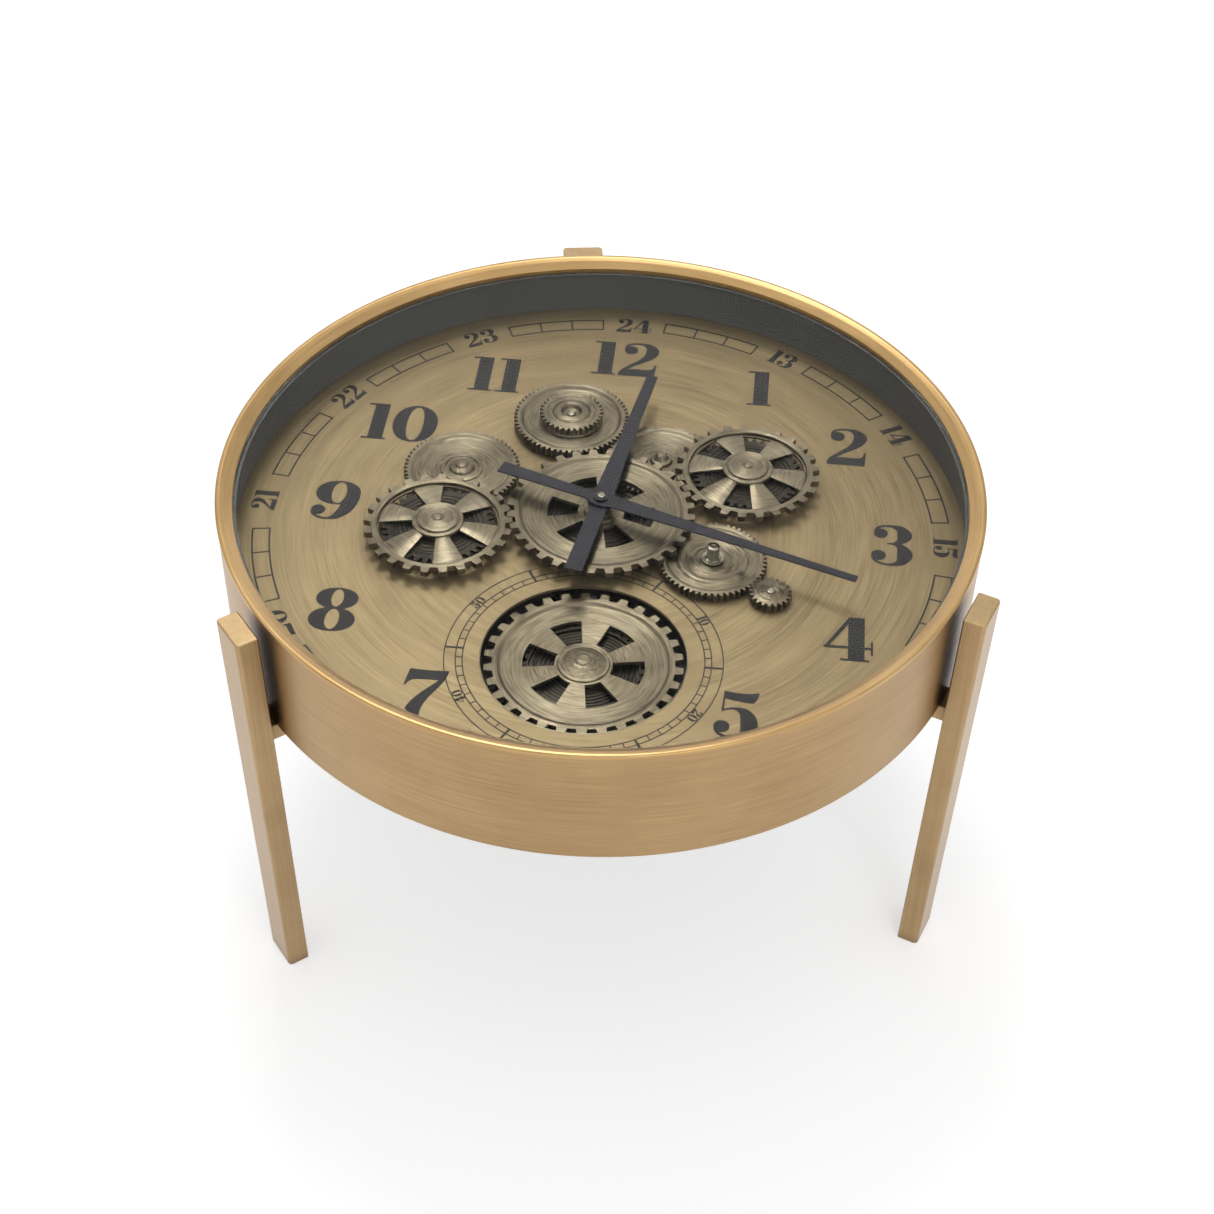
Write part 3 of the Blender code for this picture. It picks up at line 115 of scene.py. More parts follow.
def profile(rows, radius, height):
    # corners from (share of the radius, rise from the height, rounding), the last two in tenths of a mm
    return [(radius * share, height + rise / 10000, bend / 10000) for share, rise, bend in rows]


def turned(section, sides, bored=True):
    # a body of revolution from a section of (radius, height)
    return addStack(bmesh.new(), [ring(point[0], point[1], sides) for point in section], bored)


def plate(outlines, bottom, top):
    mesh = bmesh.new()
    fillBetween(mesh, [[mesh.verts.new((point[0], point[1], bottom)) for point in outline]
                       for outline in outlines])
    return thicken(mesh, top - bottom)


def thicken(mesh, depth):
    raised = bmesh.ops.extrude_face_region(mesh, geom=mesh.faces[:])["geom"]
    moved = [item for item in raised if isinstance(item, bmesh.types.BMVert)]
    bmesh.ops.translate(mesh, verts=moved, vec=(0, 0, depth))
    return mesh


def toothLoop(count, tip, root, tipShare, rootShare, height):
    corners = ((root, -rootShare), (tip, -tipShare), (tip, tipShare), (root, rootShare))
    return [polar(radius, 2 * pi * (i + share) / count, height)
            for i in range(count) for radius, share in corners]


def placed(name, data, at=(0, 0, 0), turn=(0, 0, 0)):
    item = bpy.data.objects.new(name, data)
    item.location = at
    item.rotation_euler = turn
    scene.collection.objects.link(item)
    return item


def addPiece(name, mesh, material, body="table", nodes=(), at=Vector(), turn=0.0, bevel=0.0,
             crisp=35):
    bmesh.ops.recalc_face_normals(mesh, faces=mesh.faces[:])
    data = bpy.data.meshes.new(name)
    mesh.to_mesh(data)
    mesh.free()
    data.shade_smooth()
    if not bevel:
        data.set_sharp_from_angle(angle=radians(crisp))
    piece = placed(name, data, at, (0, 0, turn))
    data.materials.append(made[material])
    if bevel:
        edge = piece.modifiers.new("Edge", "BEVEL")
        edge.width = bevel
        edge.segments = 2
        edge.limit_method = "ANGLE"
        edge.angle_limit = radians(crisp)
        edge.harden_normals = True
        edge.miter_outer = "MITER_ARC"
    else:
        piece.modifiers.new("Flats", "WEIGHTED_NORMAL").keep_sharp = True
    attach(piece, body)
    if nodes:
        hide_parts(*nodes)
    return piece


def camelName(node):
    first, *others = node.split("_")
    return first + "".join(word.capitalize() for word in others)


def boxMiddle(node):
    low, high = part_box(node)
    return (low + high) / 2


def above(spot, height):
    return Vector((spot.x, spot.y, height))


def jointAt(joint):
    row = next(row for row in frame["joints"] if row["name"] == joint)
    return Vector((row["pos_m"][0], row["pos_m"][1], 0))


def axisOf(body):
    # the place of the joint that a body of wheels turns on
    return jointAt(body.removesuffix("_wheels") + "_turn")


def nodePoints(node):
    return [vertex.co for vertex in frame["nodes"][node].data.vertices]


def standing(node):
    # the middle of a node's foot, half its width, and its height
    low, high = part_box(node)
    return above((low + high) / 2, low.z), (high.x - low.x) / 2, high.z - low.z


def teethAt(node, centre, count, depth, shares):
    # a gear's root radius, how far its teeth are turned at rest, and a function for their loop at a height
    spots = [(p.x - centre.x, p.y - centre.y) for p in nodePoints(node)]
    tip = max(hypot(*spot) for spot in spots)
    tips = [atan2(y, x) * count for x, y in spots if hypot(x, y) > tip * tipZone]
    turn = atan2(sum(sin(angle) for angle in tips), sum(cos(angle) for angle in tips)) / count
    return tip - depth, turn, partial(toothLoop, count, tip, tip - depth, *shares)


tipZone = 0.9985  # corners this close to the largest radius are tips of teeth
drumCentre = jointAt("centre_turn")
rimLow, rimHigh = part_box("rim_bezel")
rimRadius = (rimHigh.x - rimLow.x) / 2
rimTop = rimHigh.z
wallLow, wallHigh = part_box("drum_wall")
wallRadius = (wallHigh.x - wallLow.x) / 2
dialLow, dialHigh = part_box("dial_plate")
dialRadius = (dialHigh.x - dialLow.x) / 2
dialTop = dialHigh.z
glassLow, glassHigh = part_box("glass_top")
glassRadius = (glassHigh.x - glassLow.x) / 2
linerLow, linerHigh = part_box("inner_liner")
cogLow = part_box("left_spoked_wheel")[0]
subdialCentre = jointAt("subdial_turn")
subdialDrop = 0.0043  # the subdial wheel's top below the dial's
touch = 0.0003  # the gap between pieces that lie on each other
print("frame read: rim radius", round(rimRadius, 4), "dial at", round(dialTop, 4))


def tone(colour):
    # a colour from 0 to 255 as a screen shows it
    return tuple(c / 255 / 12.92 if c <= 10 else ((c / 255 + 0.055) / 1.055) ** 2.4 for c in colour) + (1.0,)


def setInputs(part, values):
    # each input gets a constant or another node's output
    for name, value in values.items():
        if isinstance(value, bpy.types.NodeSocket):
            part.id_data.links.new(value, part.inputs[name])
        else:
            part.inputs[name].default_value = value
    return part


def addNode(tree, kind, values, **settings):
    part = tree.nodes.new("ShaderNode" + kind)
    for name, value in settings.items():
        setattr(part, name, value)
    return setInputs(part, values).outputs


def newMaterial(name):
    material = bpy.data.materials.new(name)
    material.use_nodes = True
    return material, material.node_tree, material.node_tree.nodes["Principled BSDF"]


def mathNode(tree, operation, first, second):
    return addNode(tree, "Math", {0: first, 1: second}, operation=operation)[0]


def vectorNode(tree, operation, first, second=None, scale=None):
    values = {0: first, 1: second, "Scale": scale}
    found = addNode(tree, "VectorMath", {name: value for name, value in values.items() if value is not None},
                    operation=operation)
    return found["Value" if operation == "LENGTH" else "Vector"]


def objectPlace(tree):
    return addNode(tree, "TexCoord", {})["Object"]


def noise(tree, place, scale, detail, roughness=0.5):
    values = {"Vector": place, "Scale": scale, "Detail": detail, "Roughness": roughness}
    return addNode(tree, "TexNoise", values)["Fac"]


def mapped(tree, value, span):
    # a value carried from one span to another: from least and most, to least and most
    ends = zip(("From Min", "From Max", "To Min", "To Max"), span)
    return addNode(tree, "MapRange", {"Value": value, **dict(ends)})["Result"]


def brushVector(tree, way, centre, across, along):
    # coordinates that run slowly along the brushing and fast across it
    place = objectPlace(tree)
    if centre is not None:
        place = vectorNode(tree, "SUBTRACT", place, centre)
    if way in "xyz":
        return vectorNode(tree, "MULTIPLY", place, [along if way == name else across for name in "xyz"])
    flat = vectorNode(tree, "MULTIPLY", place, (1, 1, 0))
    direction = vectorNode(tree, "SCALE", vectorNode(tree, "NORMALIZE", flat), scale=along)
    height = addNode(tree, "SeparateXYZ", {0: place})["Z"]
    distance = mathNode(tree, "ADD", vectorNode(tree, "LENGTH", flat), height)
    lift = addNode(tree, "CombineXYZ", {"Z": mathNode(tree, "MULTIPLY", distance, across)})[0]
    return vectorNode(tree, "ADD", direction, lift)


# what a finish has where it says nothing else; shares are those of brushing, bands and clouds in the colour,
# and the painted shade is a dark tone for the corners, how far it reaches, and the openness where it ends and
# is gone
plainFinish = {"metallic": 1.0, "specular": 0.5, "coat": 0.0, "coatRough": 0.25, "way": "round",
               "broad": 0.16, "cloud": 14.0, "shares": (0.45, 0.30, 0.25), "stops": (0.36, 0.64),
               "roughFrom": (0.3, 0.7), "strength": 0.35, "depth": 0.00008, "grainTurn": 0.25,
               "paintedShadeRays": 6}
skinBrass = {"broad": 0.06, "shares": (0.5, 0.15, 0.35), "coat": 0.1}
nickel = {"rough": (0.26, 0.4), "broad": 0.1, "strength": 0.3, "grain": 0.75, "shares": (0.55, 0.15, 0.3),
          "stops": (0.38, 0.64)}
matt = {"metallic": 0.0, "way": "x", "rough": (0.5, 0.66)}
ink = {"metallic": 0.0, "way": "x", "specular": 0.12, "strength": 0.03}

# dark and bright tone, brushing across and along, roughness from and to, then what differs
# paintedShade is painted shade: a dark tone laid into corners, gaps and the parts close to other pieces
finishes = {
    "wallBrass": {**skinBrass, "tones": ((156, 126, 87), (186, 156, 113)), "brush": (1100, 5),
                  "rough": (0.32, 0.46), "cloud": 10.0, "paintedShade": ((92, 68, 44), 0.03, 0.15, 0.85)},
    "rimBrass": {**skinBrass, "tones": ((172, 138, 91), (202, 168, 116)), "brush": (1500, 6),
                 "rough": (0.26, 0.38), "cloud": 11.0, "paintedShade": ((84, 62, 38), 0.0016, 0.05, 0.55)},
    "legBrass": {"tones": ((156, 127, 88), (184, 155, 113)), "way": "z", "brush": (1000, 9),
                 "rough": (0.3, 0.44), "broad": 0.09, "shares": (0.45, 0.15, 0.4), "coat": 0.25,
                 "paintedShade": ((92, 68, 44), 0.02, 0.15, 0.85)},
    # painted light: a lighter tone for the upward top faces of the legs, as if lit from above
    "legEnd": {"tones": ((168, 141, 101), (190, 163, 121)), "way": "x", "brush": (1500, 1500),
               "rough": (0.32, 0.46), "cloud": 40.0, "coat": 0.25, "strength": 0.15},
    "dialBrass": {"tones": ((98, 85, 60), (144, 129, 96)), "brush": (620, 4), "rough": (0.42, 0.56),
                  "strength": 0.08, "broad": 0.045, "cloud": 5.0, "stops": (0.34, 0.66), "metallic": 0.6,
                  "specular": 0.2, "paintedShade": ((96, 82, 60), 0.018, 0.1, 0.95)},
    "gearNickel": {**nickel, "tones": ((70, 65, 54), (134, 125, 103)), "brush": (1100, 3), "cloud": 22.0,
                   "paintedShade": ((34, 32, 26), 0.0022, 0.05, 0.6)},
    "hubNickel": {**nickel, "tones": ((76, 71, 59), (140, 131, 109)), "brush": (1500, 3), "cloud": 34.0,
                  "paintedShade": ((38, 36, 29), 0.0018, 0.05, 0.6)},
    # painted shade: the nickel of the wheels underneath, painted darker than the wheels above them
    "shadedUnderNickel": {"tones": ((28, 26, 23), (62, 58, 50)), "brush": (2600, 4), "rough": (0.24, 0.36),
                    "broad": 0.08, "cloud": 50.0, "strength": 0.3, "grain": 0.6,
                    "paintedShade": ((14, 14, 13), 0.003, 0.35, 0.7)},
    "postSteel": {"tones": ((112, 108, 93), (176, 171, 152)), "brush": (4200, 3), "rough": (0.16, 0.28),
                  "broad": 0.1, "cloud": 80.0, "strength": 0.2, "paintedShade": ((32, 31, 27), 0.002, 0.05, 0.6)},
    "screwSteel": {"tones": ((110, 106, 98), (160, 156, 146)), "brush": (3000, 3), "rough": (0.28, 0.42),
                   "broad": 0.1, "cloud": 80.0},
    "printInk": {**ink, "tones": ((36, 36, 36), (46, 46, 46)), "brush": (700, 700), "rough": (0.5, 0.62),
                 "cloud": 120.0},
    "handBlack": {**ink, "tones": ((32, 32, 36), (40, 40, 45)), "brush": (1600, 1600), "rough": (0.4, 0.54),
                  "cloud": 90.0},
    "collarBlack": {"tones": ((40, 40, 42), (66, 66, 68)), "brush": (5000, 3), "rough": (0.2, 0.3),
                    "broad": 0.1, "cloud": 90.0, "strength": 0.15},
    "linerGrey": {"tones": ((60, 62, 61), (72, 74, 73)), "brush": (400, 3), "rough": (0.5, 0.62),
                  "metallic": 0.0, "specular": 0.3, "cloud": 12.0, "strength": 0.05},
    "basePaint": {**matt, "tones": ((44, 42, 40), (66, 63, 59)), "brush": (1700, 1700), "cloud": 20.0,
                  "strength": 0.5},
    "insidePaint": {**matt, "tones": ((18, 18, 18), (30, 30, 29)), "brush": (1500, 1500), "cloud": 20.0,
                    "strength": 0.4},
    "movementPlastic": {"tones": ((34, 34, 36), (48, 48, 51)), "way": "y", "brush": (2200, 2200),
                        "rough": (0.42, 0.56), "metallic": 0.0, "cloud": 60.0},
    "nutBrass": {"tones": ((176, 140, 78), (214, 178, 108)), "brush": (3600, 3), "rough": (0.22, 0.36),
                 "broad": 0.1, "cloud": 90.0},
    "cellWrap": {"tones": ((96, 112, 104), (122, 138, 128)), "way": "y", "brush": (900, 60),
                 "rough": (0.3, 0.42), "metallic": 0.0, "cloud": 70.0, "strength": 0.1},
}
glassLook = {"tint": (0.985, 0.972, 0.958, 1), "index": 1.1, "marks": (22.0, 5.0, 0.7),
             "gloss": (0.45, 0.8, 0.0, 0.012)}


def finish(name, look, centre=None):
    # one procedural finish: fine brushing or grain, broad bands, cloudy patches, bump and roughness from them
    look = {**plainFinish, **look}
    material, tree, shader = newMaterial(name)
    place = brushVector(tree, look["way"], centre, *look["brush"])
    grain = noise(tree, place, 1.0, 3.0, 0.6)
    broad = noise(tree, place, look["broad"], 2.0)
    cloud = noise(tree, objectPlace(tree), look["cloud"], 4.0, 0.6)
    sums = [mathNode(tree, "MULTIPLY", value, share)
            for value, share in zip((grain, broad, cloud), look["shares"])]
    mixed = mathNode(tree, "ADD", mathNode(tree, "ADD", sums[0], sums[1]), sums[2])
    ramp = tree.nodes.new("ShaderNodeValToRGB")
    for stop, position, colour in zip(ramp.color_ramp.elements, look["stops"], look["tones"]):
        stop.position = position
        stop.color = tone(colour)
    colour = setInputs(ramp, {"Fac": mixed}).outputs["Color"]
    if "paintedShade" in look:
        # painted shade: darker in the corners and between the teeth, where less light reaches
        dark, reach, start, end = look["paintedShade"]
        openness = addNode(tree, "AmbientOcclusion", {"Distance": reach}, samples=look["paintedShadeRays"])["AO"]
        blend = {"Factor": mapped(tree, openness, (start, end)), "A": tone(dark), "B": colour}
        colour = addNode(tree, "Mix", blend, data_type="RGBA")["Result"]
    if "grain" in look:
        # highlights drawn out across the turned brushing
        around = addNode(tree, "Tangent", {}, direction_type="RADIAL", axis="Z")["Tangent"]
        setInputs(shader, {"Anisotropic": look["grain"], "Anisotropic Rotation": look["grainTurn"],
                           "Tangent": around})
    bump = addNode(tree, "Bump", {"Height": grain, "Strength": look["strength"], "Distance": look["depth"]})
    setInputs(shader, {"Base Color": colour, "Metallic": look["metallic"],
                       "Specular IOR Level": look["specular"],
                       "Roughness": mapped(tree, mixed, look["roughFrom"] + look["rough"]),
                       "Coat Weight": look["coat"], "Coat Roughness": look["coatRough"],
                       "Normal": bump["Normal"]})
    return material


def clearGlass():
    # clear float glass with faint wiping marks in its gloss
    material, tree, shader = newMaterial("clearGlass")
    marks = noise(tree, objectPlace(tree), *glassLook["marks"])
    setInputs(shader, {"Base Color": glassLook["tint"], "IOR": glassLook["index"], "Transmission Weight": 1.0,
                       "Roughness": mapped(tree, marks, glassLook["gloss"])})
    return material


made = {name: finish(name, look) for name, look in finishes.items()}
made["clearGlass"] = clearGlass()
print("materials made:", len(made))

drum = {
    "sides": 240,
    "seamDrop": 0.0035,  # the rim's lower edge below its top
    "creaseInset": 0.0070,  # from the rim's outside to the crease between its two bands
    "creaseDrop": 0.0020,
    "slopeDrop": 0.0060,  # the inner band's edge below the top
    "topInset": 0.0030,
    "edgeDrop": 0.00036,
    "wallThickness": 0.0020,
    "linerInset": 0.0057,
    "linerThickness": 0.0020,
    "flange": 0.0012,
    "glassSeat": 0.0022,
    "glassEdge": 0.0006,
}


def buildDrum():
    inside = wallRadius - drum["wallThickness"]
    fitted = inside - touch
    inner = glassRadius + touch
    seam = rimTop - drum["seamDrop"]
    rim = rounded((
        (inner, rimTop - drum["slopeDrop"], 0.0004),
        (rimRadius - drum["creaseInset"], rimTop - drum["creaseDrop"], 0.0007),
        (rimRadius - drum["topInset"], rimTop, 0.0012), (rimRadius, rimTop - drum["edgeDrop"], 0.0012),
        (rimRadius, seam, 0.0003), (fitted, seam, 0), (fitted, glassLow.z, 0), (inner, glassLow.z, 0)),
        closed=True)
    wall = rounded(((wallRadius, wallHigh.z, 0.0002), (wallRadius, wallLow.z, 0.0008),
                    (inside, wallLow.z, 0.0004), (inside, wallHigh.z, 0)), closed=True)
    face = fitted - drum["linerInset"]
    back = face + drum["linerThickness"]
    under = linerHigh.z - drum["flange"]
    lip = glassRadius - drum["glassSeat"]
    liner = ((face, linerLow.z), (back, linerLow.z), (back, under), (fitted, under), (fitted, linerHigh.z),
             (lip, linerHigh.z), (lip, under), (face, under))
    edge = drum["glassEdge"]
    glass = ((glassRadius - edge, glassLow.z), (glassRadius, glassLow.z + edge),
             (glassRadius, glassHigh.z - edge), (glassRadius - edge, glassHigh.z))
    for name, section, material, node, slot in (
            ("rimRing", rim, "rimBrass", "rim_bezel", "brass"),
            ("drumSkin", wall, "wallBrass", "drum_wall", "brass"),
            ("innerWall", liner, "linerGrey", "inner_liner", "liner"),
            ("glassTop", glass, "clearGlass", "glass_top", "glass")):
        mesh = turned(section, drum["sides"], section is not glass)
        piece = addPiece(name, mesh, material, "table", [node], drumCentre)
    piece.visible_shadow = False  # the last one, the glass


buildDrum()
print("drum built")

dial = {
    "subdialHole": 0.0755,
    "holeSides": 160,
    "edgeWidth": 0.0009,  # the turned edge round that hole
    "bevel": 0.0003,
    "hubHole": 0.0140,
    "inkGap": 0.00002,
    "inkDepth": 0.00012,
    "turn": radians(-8.7),
    "numeralHeight": 0.0460,
    "numeralGap": 0.07,
    # the middle of each large numeral, in mm from the middle of the dial
    "numerals": {"12": (32.5, 209.9), "1": (142.5, 165.4), "2": (205.9, 85.3), "3": (224.0, -35.1),
                 "4": (176.2, -136.5), "5": (85.8, -210.0), "7": (-136.7, -179.2), "8": (-203.8, -90.5),
                 "9": (-207.1, 34.2), "10": (-157.6, 129.5), "11": (-78.9, 192.0)},
    "dayHeight": 0.0190,
    # the middle of each small number in mm, then how far out in mm and round in degrees its block lies
    "dayMarks": {"24": (42.7, 257.0, -0.8, 0.4), "13": (166.8, 205.2, 2.1, -0.5),
                 "14": (248.5, 99.2, 3.4, -0.7), "15": (265.3, -39.6, 5.0, 0.7),
                 "16": (210.3, -168.1, 4.0, 0.0), "17": (97.0, -253.0, 3.0, 0.0),
                 "18": (-40.4, -266.0, 2.0, 0.0), "19": (-167.0, -212.4, 1.0, -2.7),
                 "20": (-244.9, -105.4, 0.8, -2.4), "21": (-262.8, 36.2, -1.7, -0.2),
                 "22": (-202.2, 165.9, -3.2, 0.2), "23": (-91.0, 244.1, -2.6, 0.6)},
    "trackOuter": 0.2700,
    "trackInner": 0.2555,
    "trackLine": 0.0013,
    "blockStart": radians(6.2),
    "blockStep": radians(6.0),
    "ladderInner": 0.0885,
    "ladderOuter": 0.0935,
    "secondsCircle": 0.1020,
    "secondsLine": 0.0008,
    "tenLine": 0.00176,
    "secondsHeight": 0.0075,
    "secondsRadius": 0.0977,
}


def stroke(points, steps=7):
    # the outline of a pen line through (x, y, width), smooth between its points
    path = []
    for i in range(len(points) - 1):
        p0, p1, p2, p3 = (Vector(points[max(0, min(len(points) - 1, i + k))]) for k in (-1, 0, 1, 2))
        for step in range(steps):
            t = step / steps
            path.append(0.5 * (2 * p1 + (p2 - p0) * t + (2 * p0 - 5 * p1 + 4 * p2 - p3) * t * t
                               + (3 * p1 - p0 - 3 * p2 + p3) * t ** 3))
    path.append(Vector(points[-1]))
    left, right = [], []
    for i, p in enumerate(path):
        forward = path[min(i + 1, len(path) - 1)] - path[max(i - 1, 0)]
        side = Vector((-forward.y, forward.x)).normalized() * max(p.z, 0.01) / 2
        left.append(Vector((p.x, p.y)) + side)
        right.append(Vector((p.x, p.y)) - side)
    return left + right[::-1]


def oval(x, y, halfWidth, halfHeight, power=2.0, steps=44):
    points = []
    for i in range(steps):
        c, s = cos(2 * pi * i / steps), sin(2 * pi * i / steps)
        points.append(Vector((x + halfWidth * abs(c) ** (2 / power) * (1 if c >= 0 else -1),
                              y + halfHeight * abs(s) ** (2 / power) * (1 if s >= 0 else -1))))
    return points


def block(x0, y0, x1, y1):
    return [Vector(p) for p in ((x0, y0), (x1, y0), (x1, y1), (x0, y1))]


def pen(*points):
    # a pen line through (x, y, width), in thousandths of a figure's height
    return stroke([[value / 1000 for value in point] for point in points])


def outline(*points):
    return [Vector((x / 1000, y / 1000)) for x, y in points]


# heavy figures, one unit tall: the width, the filled shapes and the holes
figures = {
    "0": (0.80, [oval(0.40, 0.5, 0.40, 0.51, 2.15)], [oval(0.40, 0.5, 0.145, 0.465, 2.2)]),
    "1": (0.43, [block(0.115, 0.02, 0.38, 0.99), block(0, 0.955, 0.38, 1.0), block(0, 0, 0.44, 0.045)], []),
    "2": (0.71, [
        pen((75, 840, 50), (120, 930, 50), (240, 985, 50), (380, 985, 60), (510, 925, 150), (585, 780, 240),
            (535, 620, 200), (410, 470, 120), (250, 330, 85), (90, 180, 70), (30, 90, 50)),
        oval(0.185, 0.785, 0.125, 0.125),
        outline((0, 0), (0, 90), (70, 195), (300, 215), (480, 205), (590, 215), (635, 270), (655, 370),
                (690, 370), (665, 0))], []),
    "3": (0.70, [
        pen((70, 860, 50), (130, 940, 50), (250, 985, 50), (370, 980, 70), (500, 920, 170), (565, 770, 260),
            (500, 620, 150), (380, 545, 50), (270, 535, 35)),
        pen((270, 535, 35), (400, 530, 60), (510, 450, 170), (565, 280, 270), (500, 100, 170), (360, 20, 70),
            (220, 20, 50), (90, 80, 50), (20, 190, 50)),
        oval(0.165, 0.79, 0.118, 0.118), oval(0.125, 0.235, 0.125, 0.125)], []),
    "4": (0.80, [
        block(0.39, 0.02, 0.655, 1.0), outline((0, 285), (75, 300), (490, 1000), (400, 1000)),
        block(0, 0.275, 0.79, 0.33), block(0.755, 0.16, 0.79, 0.45), block(0.27, 0, 0.73, 0.045)], []),
    "5": (0.70, [
        outline((135, 1000), (300, 970), (480, 960), (600, 975), (660, 1000), (685, 985), (650, 850),
                (600, 765), (450, 775), (280, 800), (165, 830), (135, 860)),
        outline((135, 990), (168, 990), (140, 560), (105, 560)),
        pen((115, 565, 30), (200, 615, 35), (330, 625, 60), (470, 550, 180), (545, 350, 270), (490, 130, 180),
            (360, 25, 60), (220, 20, 50), (90, 80, 50), (20, 180, 50)),
        oval(0.125, 0.235, 0.125, 0.125)], []),
    "7": (0.67, [
        outline((50, 1000), (300, 985), (670, 1000), (660, 900), (600, 785), (300, 785), (130, 770),
                (65, 720), (30, 640), (0, 640), (20, 800)),
        pen((635, 950, 60), (580, 780, 80), (450, 580, 130), (320, 380, 180), (235, 180, 230),
            (215, 10, 255))], []),
    "8": (0.76, [oval(0.385, 0.755, 0.345, 0.25, 2.1), oval(0.38, 0.265, 0.38, 0.275, 2.1)],
          [oval(0.39, 0.765, 0.10, 0.205), oval(0.385, 0.27, 0.115, 0.235)]),
    "9": (0.77, [
        oval(0.39, 0.69, 0.385, 0.31, 2.1),
        pen((625, 840, 160), (650, 680, 250), (635, 480, 260), (575, 270, 240), (460, 90, 150), (330, 20, 60),
            (200, 20, 50), (80, 80, 50), (20, 170, 50)),
        oval(0.125, 0.22, 0.125, 0.125)], [oval(0.405, 0.69, 0.125, 0.275)]),
}
# a 6 is a 9 turned round
figures["6"] = (figures["9"][0], *([[Vector((figures["9"][0], 1)) - p for p in shape] for shape in group]
                                   for group in figures["9"][1:]))


def number(text, height, at, turn):
    # the filled shapes and the holes of a number with its middle at a place on the dial
    groups = [], []
    reach = 0.0
    for name in text:
        width, *shapes = figures[name]
        for group, found in zip(groups, shapes):
            group.extend([[p + Vector((reach, 0)) for p in shape] for shape in found])
        reach += width + dial["numeralGap"]
    middle = Vector(((reach - dial["numeralGap"]) / 2, 0.5))
    c, s = cos(turn), sin(turn)

    def place(p):
        q = (p - middle) * height
        return Vector((q.x * c - q.y * s + at.x, q.x * s + q.y * c + at.y))
    return [[[place(p) for p in shape] for shape in group] for group in groups]


def pour(source, target):
    part = bpy.data.meshes.new("part")
    source.to_mesh(part)
    source.free()
    target.from_mesh(part)
    bpy.data.meshes.remove(part)


def addPrint(mesh, solids, holes=()):
    # one flat outline of overlapping shapes, with a little thickness of ink
    points, faces = [], []
    for shape in [*solids, *holes]:
        area = sum(p.x * q.y - q.x * p.y for p, q in zip(shape, shape[1:] + shape[:1]))
        faces.append(list(range(len(points), len(points) + len(shape))))
        points.extend(shape if area > 0 else shape[::-1])
    verts, _, triangles, _, _, origins = delaunay_2d_cdt(points, [], faces, 0, 1e-7)
    flat = bmesh.new()
    corners = [flat.verts.new((p.x, p.y, dialTop + dial["inkGap"])) for p in verts]
    for triangle, origin in zip(triangles, origins):
        if origin and not any(face >= len(solids) for face in origin):
            flat.faces.new([corners[i] for i in triangle])
    bmesh.ops.delete(flat, geom=[v for v in flat.verts if not v.link_faces], context="VERTS")
    thicken(flat, dial["inkDepth"])
    bmesh.ops.recalc_face_normals(flat, faces=flat.faces[:])
    pour(flat, mesh)


def arcBand(inner, outer, start, end, steps=14):
    directions = [start + (end - start) * i / steps for i in range(steps + 1)]
    points = [polar(outer, d) for d in directions] + [polar(inner, d) for d in directions[::-1]]
    return [p.to_2d() for p in points]


def bar(inner, outer, direction, width):
    across = polar(width / 2, direction + pi / 2)
    near, far = polar(inner, direction), polar(outer, direction)
    return [p.to_2d() for p in (near - across, far - across, far + across, near + across)]


def clockDirection(turn):
    # a direction on the dial, measured clockwise from its 12
    return pi / 2 + dial["turn"] - turn


def buildSheet():
    hole, sides, width = dial["subdialHole"], dial["holeSides"], dial["edgeWidth"]
    offset = subdialCentre - drumCentre
    outlines = [ring(dialRadius, 0, drum["sides"]), ring(dial["hubHole"], 0, 48),
                [p + offset for p in ring(hole, 0, sides)]]
    addPiece("dialSheet", plate(outlines, dialLow.z, dialTop), "dialBrass", "table", ["dial_plate"],
             at=drumCentre, bevel=dial["bevel"])
    edge = [(hole + out, dialTop + rise) for out, rise in
            ((0, -touch), (0, touch), (width * 0.6, touch), (width, touch / 5), (width, -touch))]
    addPiece("subdialEdge", turned(edge, sides), "hubNickel", at=subdialCentre)


def buildNumerals():
    mesh = bmesh.new()
    for text, place in dial["numerals"].items():
        addPrint(mesh, *number(text, dial["numeralHeight"], Vector(place) / 1000, dial["turn"]))
    addPiece("hourNumerals", mesh, "printInk", at=drumCentre)


def buildDayTrack():
    mesh = bmesh.new()
    line = dial["trackLine"]
    for text, (across, up, outward, late) in dial["dayMarks"].items():
        direction = clockDirection(radians(30) * (int(text) % 12))
        addPrint(mesh, *number(text, dial["dayHeight"], Vector((across, up)) / 1000, direction - pi / 2))
        start = direction - dial["blockStart"] - radians(late)
        end = start - 3 * dial["blockStep"]
        inner, outer = dial["trackInner"] + outward / 1000, dial["trackOuter"] + outward / 1000
        shapes = [arcBand(outer - line, outer, start, end), arcBand(inner, inner + line, start, end)]
        shapes += [bar(inner, outer, start - dial["blockStep"] * i, line) for i in range(4)]
        addPrint(mesh, shapes)
    addPiece("dayTrack", mesh, "printInk", at=drumCentre)


def buildSecondsTrack():
    mesh = bmesh.new()
    line, inner, outer, circle = (dial[name] for name in
                                  ("secondsLine", "ladderInner", "ladderOuter", "secondsCircle"))
    # six arcs to a circle
    shapes = [arcBand(radius - line / 2, radius + line / 2, pi / 3 * i, pi / 3 * (i + 1), steps=20)
              for radius in (inner, outer, circle) for i in range(6)]
    for second in range(60):
        direction = clockDirection(radians(6) * second)
        shapes.append(bar(inner, outer, direction, line))
        if second % 10 == 5:
            shapes.append(bar(inner, circle, direction, dial["tenLine"]))
    addPrint(mesh, shapes)
    for tens in range(1, 7):
        direction = clockDirection(radians(60) * tens)
        addPrint(mesh, *number(str(10 * tens), dial["secondsHeight"], polar(dial["secondsRadius"], direction),
                               direction - pi / 2))
    addPiece("secondsTrack", mesh, "printInk", at=subdialCentre)


buildSheet()
buildNumerals()
buildDayTrack()
buildSecondsTrack()
print("dial and print built")

